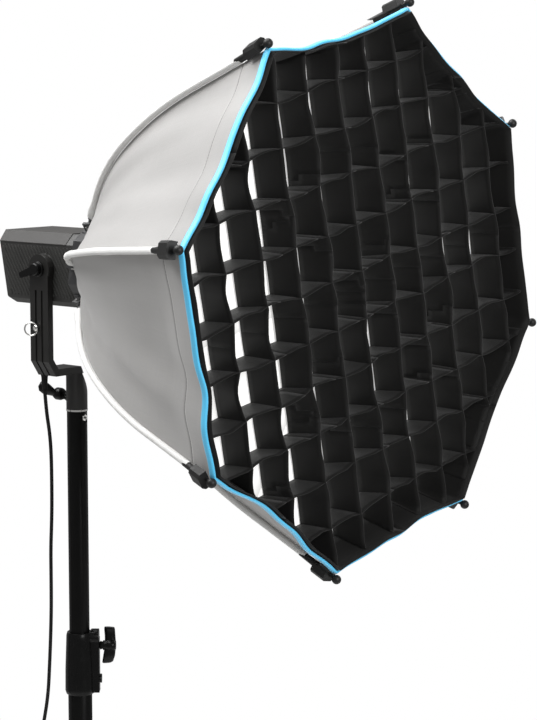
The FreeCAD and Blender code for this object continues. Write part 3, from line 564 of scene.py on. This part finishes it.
PLASTICS = {  # colour, roughness, grain, specular level, coat
    "black_paint": ((0.0036, 0.0036, 0.0035), 0.3, 1.2e-5, 0.1),
    "black_plastic": ((0.009, 0.0088, 0.0085), 0.44, 5e-5, 0.28),
    "gloss_plastic": ((0.0036, 0.0036, 0.0036), 0.24, 2e-5, 0.16),
    "cast_paint": ((0.013, 0.0125, 0.0118), 0.42, 6e-5, 0.32),
    "lamp_paint": ((0.03, 0.0295, 0.028), 0.48, 5e-5, 0.35),
    "lamp_cover": ((0.034, 0.0325, 0.031), 0.52, 4e-5, 0.3),
    "black_metal": ((0.02, 0.02, 0.021), 0.35, 3e-5),
    "rubber": ((0.022, 0.021, 0.021), 0.72, 9e-5),
    "lead_rubber": ((0.006, 0.0058, 0.0056), 0.55, 4e-5, 0.2),
    "led": ((0.72, 0.55, 0.11), 0.45, 2e-5),
    "glass": ((0.006, 0.0065, 0.008), 0.08, 4e-6, 0.5, 0.5),
}
METALS = {  # colour, roughness
    "rod_steel": ((0.2, 0.2, 0.205), 0.32),
    "bright_metal": ((0.78, 0.77, 0.75), 0.17),
    "heat_sink": ((0.42, 0.42, 0.43), 0.42),
}
# colour, roughness, the weave's pitch and depth, sheen, contrast, cloudiness, specular level, hem
CLOTHS = {
    "silver_cloth": ((0.33, 0.322, 0.315), 0.58, 0.0012, 9e-5, 0.25, 0.09, 0.05, 0.5, True),
    "diffuser_cloth": ((0.84, 0.84, 0.82), 0.66, 0.0008, 5e-5, 0.1, 0.03, 0.03),
    "sleeve_cloth": ((0.76, 0.755, 0.74), 0.55, 0.0011, 0.0001, 0.2, 0.07, 0.06),
    "black_cloth": ((0.0064, 0.0062, 0.0059), 0.55, 0.0011, 0.00012, 0.07, 0.26, 0.14, 0.15),
    "blue_piping": ((0.085, 0.56, 0.95), 0.4, 0.0013, 0.00012, 0.35, 0.16, 0.05),
}


def make_materials():
    for make, table in ((plastic, PLASTICS), (metal, METALS), (cloth, CLOTHS)):
        for name, values in table.items():
            SKINS[name] = make(name, *values)
    # painted glow: the diffuser cloth is made to give off a little light of its own, though it is no
    # lamp
    shader = SKINS["diffuser_cloth"].node_tree.nodes["Principled BSDF"]
    set_values(shader, {"Emission Color": (1.0, 0.995, 0.98, 1), "Emission Strength": 0.5})


# ---- softbox
def rib_place(distance, start=RIB_START):
    """Radius, depth behind the front plane, and angle from the softbox's axis, that far along a rib."""
    radius, depth, angle = PIVOT_RADIUS, PIVOT_DEPTH, start
    for number, (length, turn) in enumerate(RIB_BENDS):
        last = number == len(RIB_BENDS) - 1
        step = distance if last else min(distance, length)
        bend = turn * step / length
        half = bend / 2
        chord = step * sin(half) / half if abs(half) > 1e-9 else step
        radius += chord * sin(angle - half)
        depth -= chord * cos(angle - half)
        angle -= bend
        distance -= step
    return radius, depth, angle


def spot(radius, depth, around, sideways=0.0):
    """A place by radius and depth at an angle round the softbox's axis, and how far beside that."""
    outward = Vector((sin(around), 0, cos(around)))
    beside = Vector((cos(around), 0, -sin(around)))
    return Vector((0, FRONT_Y + depth, AXIS_HEIGHT)) + outward * radius + beside * sideways


def rib_angle(number):
    return FIRST_RIB + RIB_STEP * number


def swell(value, low, high):
    t = min(1.0, max(0.0, (value - low) / (high - low)))
    return t * t * (3 - 2 * t)


def panel_folds(panel, across, distance):
    """Soft folds that run along a panel and fade towards its ribs."""
    rng = random.Random(101 + panel)
    height = 0.0
    for count, size in FOLDS:
        phase, lean = rng.uniform(0, tau), rng.uniform(1.2, 3.4)
        wave = sin(count * across * 1.6 + phase + lean * distance / 0.2)
        height += size * wave
    grain = noise.noise(Vector((across * 2.3 + panel * 7.7, distance * 9, 1.7)))
    height += DENT * grain
    edge = (1 - abs(across) ** 3) * FOLD_SIZE[panel]
    return height * edge * (0.35 + 0.65 * swell(distance, 0.02, 0.12))


def panel_point(panel, across, distance):
    """The cloth's outer face between rib number panel (across = -1) and the next rib (across = 1)."""
    radius, depth, angle = rib_place(distance)
    radius -= CLOTH_GAP * cos(angle)
    depth -= CLOTH_GAP * sin(angle)
    half = RIB_STEP / 2
    bow = 1 - across * across
    length_share = swell(distance, 0.0, 0.12) * (1 - 0.35 * swell(distance, 0.3, SHELL_END))
    near_rim = swell(distance, 0.375, SHELL_END)
    inwards = PANEL_DIP * bow * length_share * (1 + near_rim * (RIM_SLACK[panel] - 1))
    inwards += HEM_GROOVE * exp(-((distance - HEM) / HEM_STEP) ** 2)
    inwards -= panel_folds(panel, across, distance)
    ripple = noise.noise(Vector((across * 2.6 + panel * 3.1, 4.2, 0.3)))
    scallop = RIM_SCALLOP * bow * RIM_SLACK[panel] + RIM_RIPPLE * ripple * min(1.0, bow * 3)
    scallop *= near_rim
    radial = radius * cos(half) - inwards * cos(angle) - scallop
    depth_here = depth - inwards * sin(angle) + scallop * 0.45
    return spot(radial, depth_here, rib_angle(panel) + half, across * radius * sin(half))


def panel_normal(panel, across, distance):
    aside, ahead = 0.01, 0.001
    side = panel_point(panel, across + aside, distance) - panel_point(panel, across - aside, distance)
    along = panel_point(panel, across, distance + ahead) - panel_point(panel, across, distance - ahead)
    return along.cross(side).normalized()


def shell_rows(start, end):
    """Distances along the ribs for one stretch of cloth, closer together at the hem."""
    count = max(3, round((end - start) / ROW_STEP))
    rows = spread(start, end, count)
    if start < HEM < end:
        rows = [r for r in rows if abs(r - HEM) > 0.0055]
        rows += [HEM + step for step in (-0.0045, -HEM_STEP, 0.0, HEM_STEP, 0.0045)]
    return sorted(rows)


def rib_sides(rib):
    """The two half panels that a rib carries: a panel's number, and from where to where across it."""
    return (((rib - 1) % RIB_COUNT, 0.0, 1.0), (rib, -1.0, 0.0))


def make_shell():
    """Eight cuts of cloth, each centred on a rib and parted in three, so that the ribs can fold."""
    for rib in range(RIB_COUNT):
        for zone, (start, end) in enumerate(zip(SHELL_ZONES, SHELL_ZONES[1:])):
            bm = bmesh.new()
            normals = []
            rows = shell_rows(start, end)
            for panel, low, high in rib_sides(rib):
                shares = spread(low, high, HALF_PANEL)[::-1]
                points = [[panel_point(panel, t, s) for t in shares] for s in rows]
                lines = [[panel_normal(panel, t, s) for t in shares] for s in rows]
                marks = [[(t * rib_place(s)[0] * HALF_SINE, s) for t in shares] for s in rows]
                normals += thick_patch(bm, points, lines, marks, CLOTH_THICKNESS)
            bm.normal_update()
            piece = link_mesh("shell_%d_%s" % (rib + 1, ("back", "middle", "front")[zone]), bm)
            piece.data.normals_split_custom_set_from_vertices(normals)
            finish_piece(piece, RIBS[rib], "silver_cloth")
            halfway = (start + end) / 2
            folded = max(LEAST_FOLDED, rib_place(halfway, RIB_START - RIB_FOLD)[0])
            fold_piece(piece, folded / rib_place(halfway)[0])
            lower, upper = (2 * rib_place(s)[0] * HALF_SINE for s in (start, end))
            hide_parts("shell")


def fold_piece(piece, keep):
    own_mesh(piece)


def make_piping():
    """The blue bound edge, one length from mid-panel to mid-panel for each rib."""
    for rib in range(RIB_COUNT):
        points = []
        for panel, low, high in rib_sides(rib):
            for t in spread(low, high, PIPING_STEPS)[int(panel == rib):]:
                edge = panel_point(panel, t, SHELL_END)
                points.append(edge - BACK * 0.0026 + panel_normal(panel, t, SHELL_END) * 0.0002)
        ups = [(p - Vector((0, p.y, AXIS_HEIGHT))).normalized() for p in points]
        bm = bmesh.new()
        sweep(bm, points, ups, oval_profile(PIPING_WIDTH / 2, 0.0017, 16, 0.7))
        piece = link_mesh("piping_%d" % (rib + 1), bm)
        finish_piece(piece, RIBS[rib], "blue_piping")
        fold_piece(piece, 0.17)
        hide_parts("rim_piping")


def make_sleeves():
    """The white sleeve that each rib runs in, with a rounded pocket at its back end."""
    for rib in range(RIB_COUNT):
        around = rib_angle(rib)
        points, ups, scales = [], [], []
        for s in spread(SLEEVE_START, SLEEVE_END, SLEEVE_STEPS):
            radius, depth, angle = rib_place(s)
            outward = spot(cos(angle), sin(angle), around) - spot(0, 0, around)
            wobble = 0.00035 * noise.noise(Vector((s * 60, rib * 5.1, 0.5)))
            points.append(spot(radius, depth, around, wobble) - outward * 0.0006)
            ups.append(outward)
            pocket = 1 + 0.62 * (1 - swell(s, 0.024, 0.044))
            nose = sqrt(max(0.06, 1 - (1 - min(1.0, (s - SLEEVE_START) / 0.009)) ** 2))
            scales.append(pocket * nose * (1 + 0.03 * noise.noise(Vector((s * 35, rib * 2.2, 3.5)))))
        bm = bmesh.new()
        sweep(bm, points, ups, oval_profile(*SLEEVE_HALVES, 18, 0.8), scales)
        piece = link_mesh("sleeve_%d" % (rib + 1), bm)
        finish_piece(piece, RIBS[rib], "sleeve_cloth")


def front_radius(around, depth):
    """How far out the front cloths reach, at an angle round the axis."""
    turn = (around - FIRST_RIB) / RIB_STEP
    panel = floor(turn)
    off_middle = (turn - panel - 0.5) * RIB_STEP
    across = tan(off_middle) / tan(RIB_STEP / 2)
    distance = SHELL_END - max(0.0, depth - RIM_DEPTH) / cos(rib_place(SHELL_END)[2])
    place = panel_point(panel % RIB_COUNT, across, distance)
    return hypot(place.x, place.z - AXIS_HEIGHT) - FRONT_GAP


def diffuser_point(share, around, reach):
    radius = reach * share
    x, z = radius * sin(around), radius * cos(around)
    billow = 0.0015 * (1 - share * share)
    crease = 0.0011 * noise.noise(Vector((x * 14, z * 14, 0.2)))
    crease += 0.0006 * noise.noise(Vector((x * 40, z * 40, 5.2)))
    return Vector((x, FRONT_Y + DIFFUSER_DEPTH + billow + crease * (1 - share ** 4), AXIS_HEIGHT + z))


def make_diffuser():
    for rib in range(RIB_COUNT):
        angles = [rib_angle(rib) + RIB_STEP * (i / 12 - 0.5) for i in range(13)]
        for part, (low, high) in enumerate(((0.0, INNER_FRONT), (INNER_FRONT, None))):
            bm = bmesh.new()
            columns = []
            for a in angles:
                reach = front_radius(a, DIFFUSER_DEPTH)
                shares = spread(low / reach, high / reach if high else 1.0, DIFFUSER_STEPS)
                columns.append([diffuser_point(share, a, reach) for share in shares])
            rows = list(zip(*columns))
            lay_patch(bm, rows, [[(p.x, p.z) for p in row] for row in rows])
            bmesh.ops.remove_doubles(bm, verts=bm.verts, dist=0.0001)
            piece = link_mesh("diffuser_%d_%s" % (rib + 1, ("inner", "outer")[part]), bm)
            thicken(piece, DIFFUSER_THICKNESS)
            finish_piece(piece, RIBS[rib], "diffuser_cloth")
            fold_front(piece, part)
            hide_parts("diffuser")


def thicken(piece, thickness):
    solid = piece.modifiers.new("thickness", "SOLIDIFY")
    solid.thickness = thickness
    solid.offset = 0.0


def fold_front(piece, part):
    """Gives the front piece a mesh of its own, the outer cloth and the inner cloth alike."""
    if part:
        fold_piece(piece, 0.14)
        return
    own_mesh(piece)


def knot(i, j, way):
    """How far the crossing of strips i and j hangs from its even place."""
    seed = Vector((i * 0.83 + 0.31, j * 0.79 + 4.7, 11.3 if way else 2.9))
    return noise.noise(seed) * KNOT_SHIFT


def grid_offset(i, q, way, depth_share):
    """Sideways sag of strip i at q cells along it, and how far its front edge sinks."""
    low = floor(q)
    part = q - low
    first, last = (knot(*((at, i) if way else (i, at)), way) for at in (low, low + 1))
    line = first + (last - first) * swell(part, 0, 1)
    rng = random.Random(4001 + 97 * i + 13 * low + 7001 * way)
    belly = rng.uniform(-1, 1) * STRIP_BELLY + rng.uniform(-1, 1) * 0.0014 * sin(tau * part)
    loose = 1.0 - 0.85 * depth_share
    sink = 0.002 * sin(pi * part) * (1 - depth_share) * rng.uniform(0.2, 1.0)
    if not way:
        belly += rng.uniform(0.5, 1.0) * (-0.0034 if i < 3 else 0.003)
        line += LEAN[i]
    return line * loose + belly * sin(pi * part) * loose, sink


def make_grid():
    """Black cloth strips that cross to make cells. They hang unevenly, more so at the front."""
    rows = 6
    front = GRID_FRONT + 0.0015
    half = GRID_CELLS / 2
    buckets = {(rib, part): bmesh.new() for rib in range(RIB_COUNT) for part in (0, 1)}
    for way in (0, 1):
        for i in range(1, GRID_CELLS):
            grid = []
            for r in range(rows + 1):
                depth_share = r / rows
                depth = front + (GRID_BACK - front) * depth_share
                line = []
                for k in range(GRID_CELLS * CELL_STEPS + 1):
                    q = k / CELL_STEPS
                    sag, sink = grid_offset(i, q, way, depth_share)
                    place, run = (i - half) * GRID_PITCH + sag, (q - half) * GRID_PITCH
                    x, z = (run, -place) if way else (place + GRID_SHIFT, run)
                    line.append(keep_inside(x, z, depth + sink))
                grid.append(line)
            lay_strip(buckets, grid)
    for (rib, part), bm in buckets.items():
        if part:
            add_grid_border(bm, rib)
        bmesh.ops.remove_doubles(bm, verts=bm.verts, dist=5e-5)
        bmesh.ops.dissolve_degenerate(bm, edges=bm.edges, dist=5e-5)
        piece = link_mesh("grid_%d_%s" % (rib + 1, ("inner", "outer")[part]), bm)
        thicken(piece, STRIP_THICKNESS)
        finish_piece(piece, RIBS[rib], "black_cloth")
        fold_front(piece, part)
        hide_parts("grid")


def keep_inside(x, z, depth):
    """A grid place turned to the softbox's flats, and drawn in to the mouth if it lies outside."""
    around = atan2(x, z) + FIRST_RIB - RIB_STEP / 2
    return spot(min(hypot(x, z), front_radius(around, depth) - 0.0016), depth, around)


def lay_strip(buckets, grid):
    """A strip's faces, shared out among the ribs that their cloth rides on."""
    rows, columns = len(grid), len(grid[0])
    for r in range(rows - 1):
        for k in range(columns - 1):
            places = [(r, k), (r, k + 1), (r + 1, k + 1), (r + 1, k)]
            corners = [grid[a][b] for a, b in places]
            sides = [(a - b).length for a, b in zip(corners, corners[1:])]
            if max(sides) < 0.0004 or max(sides[0], sides[2]) < 0.0002:
                continue
            heart = sum(corners, Vector()) / 4
            x, z = heart.x, heart.z - AXIS_HEIGHT
            rib = round((atan2(x, z) - FIRST_RIB) / RIB_STEP) % RIB_COUNT
            bm = buckets[(rib, int(hypot(x, z) > INNER_FRONT))]
            weave_map(bm)
            marks = [(b * GRID_PITCH / CELL_STEPS, a * GRID_WIDTH / (rows - 1)) for a, b in places]
            mapped_face(bm, [bm.verts.new(c) for c in corners], marks)


def add_grid_border(bm, rib):
    """The strip that the grid's ends are sewn to, just inside the rim."""
    points, marks = [], []
    for depth in spread(BORDER_FRONT, GRID_BACK, BORDER_ROWS):
        row, line = [], []
        for i in range(BORDER_STEPS + 1):
            around = rib_angle(rib) + RIB_STEP * (i / BORDER_STEPS - 0.5)
            radius = front_radius(around, depth) - 0.0008
            row.append(spot(radius, depth, around))
            line.append((radius * (around - rib_angle(rib)), depth))
        points.append(row)
        marks.append(line)
    lay_patch(bm, points, marks)


# ---- lamp head
def lamp_spot(x, y, z):
    """A place in millimetres from the column's axis and the softbox's axis."""
    return Vector((x / 1000, COLUMN_Y + y / 1000, AXIS_HEIGHT + z / 1000))


def slanted_back(z):
    """How far back the lamp's rear reaches at a height, in millimetres."""
    return 63.5 + REAR_SLANT * (z + 39)


def clip_line(start, direction, region):
    """The stretch of a line inside a convex outline, in two dimensions. No edge runs along it."""
    low, high = -1e9, 1e9
    for (ay, az), (by, bz) in zip(region, region[1:] + region[:1]):
        ny, nz = az - bz, by - ay
        along = direction[0] * ny + direction[1] * nz
        off = (start[0] - ay) * ny + (start[1] - az) * nz
        t = -off / along
        if along > 0:
            low = max(low, t)
        else:
            high = min(high, t)
    return (low, high) if high - low > 1.5 else None


def make_lamp_ribs():
    """Fine slanting ribs moulded on the lamp's sides."""
    direction = (-cos(RIB_SLOPE), -sin(RIB_SLOPE))
    profile = [(-0.0012, -0.0002), (0.0012, -0.0002), (0.0007, 0.0012), (-0.0007, 0.0012)]
    for side, areas in RIB_AREAS.items():
        bm = bmesh.new()
        for area in areas:
            for number in range(-40, 60):
                start = (number * RIB_SPACING / sin(RIB_SLOPE), 0.0)
                stretch = clip_line(start, direction, area)
                if not stretch:
                    continue
                ends = [(start[0] + direction[0] * t, start[1] + direction[1] * t) for t in stretch]
                points = [lamp_spot(LAMP_HALF_WIDTH * side, y, z) for y, z in ends]
                lean = (points[1] - points[0]).normalized()
                line = [points[0], points[0] + lean * 0.0006, points[1] - lean * 0.0006, points[1]]
                sweep(bm, line, [RIGHT * side] * 4, profile, [0.55, 1, 1, 0.55])
        for face in bm.faces:
            face.smooth = False
        name = "lamp_ribs_left" if side < 0 else "lamp_ribs_right"
        add_part(name, bm, "lamp", "lamp_paint")


def make_lamp_cover():
    """The lighter cover over the lamp's top and its two upper bevels, with a shadow gap in front."""
    bm = bmesh.new()
    rings = []
    for front in (True, False):
        ring = []
        for x, z in COVER + COVER_INSIDE[::-1]:
            y = COVER_FRONT if front else slanted_back(z) - 0.6
            ring.append(bm.verts.new(lamp_spot(x, y, z)))
        rings.append(ring)
    join_rings(bm, rings, smooth=False, capped=False)
    count = len(rings[0])
    for ring in rings:
        for i in range(len(COVER) - 1):
            bm.faces.new([ring[i], ring[i + 1], ring[count - 2 - i], ring[count - 1 - i]])
    soften(add_part("lamp_cover", bm, "lamp", "lamp_cover"), 0.0003)


def make_display():
    """A dark glass plate in the rear panel's recess."""
    normal = Vector((0, 1, -REAR_SLANT)).normalized()
    tall = Vector((0, REAR_SLANT, 1)).normalized()
    centre = lamp_spot(0, slanted_back(17), 17) - normal * 0.0009
    bm = bmesh.new()
    outline = oval_profile(0.0276, 0.0126, 48, 0.22)
    rings = []
    for lift, grow in ((-0.0004, 1.0), (0.0002, 1.0), (0.0005, 0.985)):
        raised = centre + normal * lift
        rings.append([bm.verts.new(raised + (RIGHT * a + tall * b) * grow) for a, b in outline])
    join_rings(bm, rings, smooth=False)
    add_part("display_glass", bm, "lamp", "glass")


def soften(piece, width):
    """Rounds a piece's edges. Welding comes first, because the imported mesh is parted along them."""
    weld = piece.modifiers.new("weld", "WELD")
    weld.merge_threshold = 1e-5
    bevel = piece.modifiers.new("edges", "BEVEL")
    bevel.width = width
    bevel.segments = 2
    bevel.limit_method = "ANGLE"
    bevel.angle_limit = radians(38)
    bevel.harden_normals = True


# ---- wing screws
def make_wing_screw(name, node, at, out, up, stem, hub, leaf, thickness, twist):
    """A screw with a twisted leaf of plastic across its end, lofted through oval sections.

    The leaf's rows give height, inner edge and outer edge. Sizes are in millimetres.
    """
    bm = bmesh.new()
    turned(bm, stem, at, out)
    turned(bm, hub, at, out)
    side = out.cross(up)
    rings = []
    leaf = mm(leaf)
    lowest, highest = leaf[0][0], leaf[-1][0]
    for height, low, high in leaf:
        share = (height - lowest) / (highest - lowest)
        turn = radians(twist) * (share - 0.5)
        lean_out = out * cos(turn) + side * sin(turn)
        lean_side = side * cos(turn) - out * sin(turn)
        sway = side * (0.004 * sin(tau * share))
        centre = at + up * height + out * (low + high) / 2 + sway
        girth = thickness / 1000 / 2 * (0.55 + 0.45 * sin(pi * share))
        outline = oval_profile((high - low) / 2, girth, 18, 0.85)
        rings.append([bm.verts.new(centre + lean_out * a + lean_side * b) for a, b in outline])
    join_rings(bm, rings)
    piece = add_part(name, bm, node + "_body", "gloss_plastic")
    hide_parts(node)


def level_way(degrees):
    return Vector((cos(radians(degrees)), sin(radians(degrees)), 0))


def make_wing_screws():
    make_wing_screw(
        "receiver_wing", "receiver_knob", lamp_spot(0, 0, -155), BACK, Vector((-0.75, 0, 0.6614)),
        stem=[(3, 8.4), (3, 25)],
        hub=[(5.2, 23), (6.5, 24), (7.5, 27), (7.5, 33), (5.5, 37), (3, 38)],
        leaf=[(-21, 25, 28), (-19, 22.5, 32), (-13, 22, 36.5), (-6, 24, 40), (2, 26.5, 43.5),
              (9, 29.5, 47), (15, 33, 49.5), (19, 37.5, 49.5), (21, 42, 46)],
        thickness=8.5, twist=-92,
    )
    make_wing_screw(
        "collar_wing", "collar_knob", Vector((0, COLUMN_Y, 0.69)), level_way(-49.5), UP,
        stem=[(4, 12.7), (4, 26)],
        hub=[(4.2, 24.5), (5.4, 25.5), (4.4, 27.5), (6.2, 29), (5.4, 31.5), (7.4, 34), (7.4, 42),
             (5, 44)],
        leaf=[(-21.5, 27.5, 38), (-20, 27.2, 40.5), (-12, 28.6, 43), (0, 30.5, 44.3), (10, 30.2, 43.2),
              (20, 29.6, 43), (22.5, 30, 42.5)],
        thickness=10, twist=30,
    )
    make_wing_screw(
        "leg_wing", "leg_knob", Vector((0, COLUMN_Y, middle("leg_knob").z)), level_way(30), UP,
        stem=[(3, 15.2), (3, 28)],
        hub=[(6.5, 27.6), (8.2, 28.2), (9, 30), (9, 36), (6, 40), (3, 41)],
        leaf=[(-19, 31, 35), (-16, 29.5, 37.5), (-8, 29, 40), (0, 29, 41), (8, 29, 40),
              (16, 29.5, 37.5), (19, 31, 35)],
        thickness=9, twist=30,
    )


# ---- small parts of the lamp and stand
def make_safety_ring():
    """A steel ring on a round-headed, slotted screw at the arm's back edge."""
    at = lamp_spot(-60, 2, -68)
    bm = bmesh.new()
    screw = [(1.8, -2), (1.8, 3.4), (3.6, 3.4), (3.9, 4.2), (3.2, 5.4), (1.4, 5.9), (1.2, 5.2)]
    turned(bm, screw, at, -RIGHT, 28)
    beside = Vector((-0.62, 0.78, 0)).normalized()
    centre = at + Vector((-0.0024, 0, -0.0012)) + beside * 0.0064
    angles = [tau * i / 48 for i in range(49)]
    line = [centre + (beside * cos(a) + UP * sin(a)) * 0.0076 for a in angles]
    sweep(bm, line, [beside.cross(UP)] * len(line), round_profile(0.0009, 10))
    piece = add_part("safety_ring_steel", bm, "yoke", "bright_metal")
    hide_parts("safety_ring")


def make_turned_parts():
    """The screw that holds the stud in the upper tube, and the disc that the arm turns against."""
    low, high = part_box("top_tube")
    bm = bmesh.new()
    screw = [(3.5, 0), (3.7, 0.4), (3.3, 1.0), (1.9, 1.2), (1.7, 0.5), (1.6, 0.2)]
    turned(bm, screw, Vector((0, low.y + 0.0004, high.z - 0.0076)), -BACK, 28)
    add_part("tube_screw", bm, "mast", "bright_metal")
    bm = bmesh.new()
    disc = [(18.6, -0.4), (18.6, 0.8), (18.0, 1.3), (16.2, 1.3), (15.8, 0.7), (14.6, 0.7), (14.2, 1.3)]
    turned(bm, disc + [(12.5, 1.3)], lamp_spot(-LAMP_HALF_WIDTH, 0, 0), -RIGHT, 64)
    add_part("pivot_disc", bm, "lamp", "cast_paint")


# ---- the lead
def coil_points():
    """Control points of the coil's turns, from where the lead comes in, and up to the plug."""
    points = []
    for number in range(1, COIL_TURNS * COIL_STEPS + 7):
        turns = number / COIL_STEPS
        which = min(int(turns), len(COIL_RADII) - 1)
        after = min(which + 1, len(COIL_RADII) - 1)
        shift = swell(turns - which, 0.62, 1.0)
        radius = (COIL_RADII[which] * (1 - shift) + COIL_RADII[after] * shift) / 1000
        layer = COIL_LAYER[which] * (1 - shift) + COIL_LAYER[after] * shift
        angle = pi / 2 + tau * turns
        height = LEAD_DIAMETER / 2 + LAYER_RISE * layer
        across = Vector((radius * cos(angle), radius * sin(angle), height))
        points.append(COIL_CENTRE + across)
    return points


def lead_line(name, points):
    """The lead's smooth line, as points: a spline with the route's points as its control points."""
    curve = bpy.data.curves.new(name, "CURVE")
    curve.dimensions = "3D"
    curve.resolution_u = 7
    spline = curve.splines.new("NURBS")
    spline.points.add(len(points) - 1)
    for control, p in zip(spline.points, points):
        control.co = (*p, 1)
    spline.order_u = 3
    spline.use_endpoint_u = True
    holder = add_object(name, curve)
    bpy.context.view_layer.update()
    mesh = bpy.data.meshes.new_from_object(holder)
    line = [v.co.copy() for v in mesh.vertices]
    bpy.data.objects.remove(holder)
    bpy.data.meshes.remove(mesh)
    return line


def make_lead():
    upper = lead_line("upper_line", [lamp_spot(*p) for p in LEAD_TOP])
    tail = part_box("lead_plug")[0].x
    plug = middle("lead_plug")
    arrival = [
        Vector((tail - 0.0115, plug.y + 0.0016, plug.z - 0.0028)),
        Vector((tail - 0.0045, plug.y, plug.z)),
        Vector((tail + 0.001, plug.y, plug.z)),
    ]
    lower = lead_line("lower_line", [lamp_spot(*p) for p in LEAD_DROP] + coil_points() + arrival)
    pieces = []
    for name, line in (("lead_upper_tube", upper), ("lead_lower_tube", lower)):
        bm = bmesh.new()
        sweep(bm, line, carried_ups(line), round_profile(LEAD_DIAMETER / 2, 12))
        piece = link_mesh(name, bm)
        paint(piece, "lead_rubber")
        pieces.append(piece)
    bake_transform(pieces[0])
    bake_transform(pieces[1])
    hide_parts("lead_upper")
    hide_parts("lead_lower", "lead_coil")


# ---- CAD nodes that show as they are
def numbered(name, count):
    return ["%s_%d" % (name, n + 1) for n in range(count)]


def dress_nodes():
    """Materials, and rounded edges for the hard ones."""
    looks = {  # how far the edges are rounded, and the nodes
        "black_paint": (0.0004, ["base_tube", "top_tube"] + numbered("leg", 3) + numbered("brace", 3)),
        "gloss_plastic": (0.0008, ["lock_collar", "tilt_knob"]),
        "black_plastic": (0.0005, [
            "brace_hub", "leg_collar", "control_dial", "power_button", "latch_button", "rear_panel",
            "fan_rotor", "lead_plug", *numbered("rod_tip", RIB_COUNT),
        ]),
        "cast_paint": (0.0008, ["yoke_frame", "pivot_bolt"]),
        "lamp_paint": (0.0009, ["lamp_housing"]),
        "black_metal": (0.0004, ["mount_ring", "rod_brackets", "bayonet_insert", "lamp_mount"]),
        "rod_steel": (None, numbered("rod", RIB_COUNT)),
        "bright_metal": (None, ["spigot", "rod_pins"]),
        "heat_sink": (None, ["heat_sink"]),
        "led": (None, ["led_module"]),
        "rubber": (None, numbered("foot", 3)),
        "lead_rubber": (None, ["lead_gland"]),
    }
    for look, (edge, names) in looks.items():
        for name in names:
            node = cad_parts[name]
            paint(node, look)
            if edge:
                soften(node, edge)


make_camera()
make_materials()
make_lead()
make_lights()
make_floor()
make_shell()
make_piping()
make_sleeves()
make_diffuser()
make_grid()
make_lamp_ribs()
make_lamp_cover()
make_display()
make_wing_screws()
make_safety_ring()
make_turned_parts()
dress_nodes()
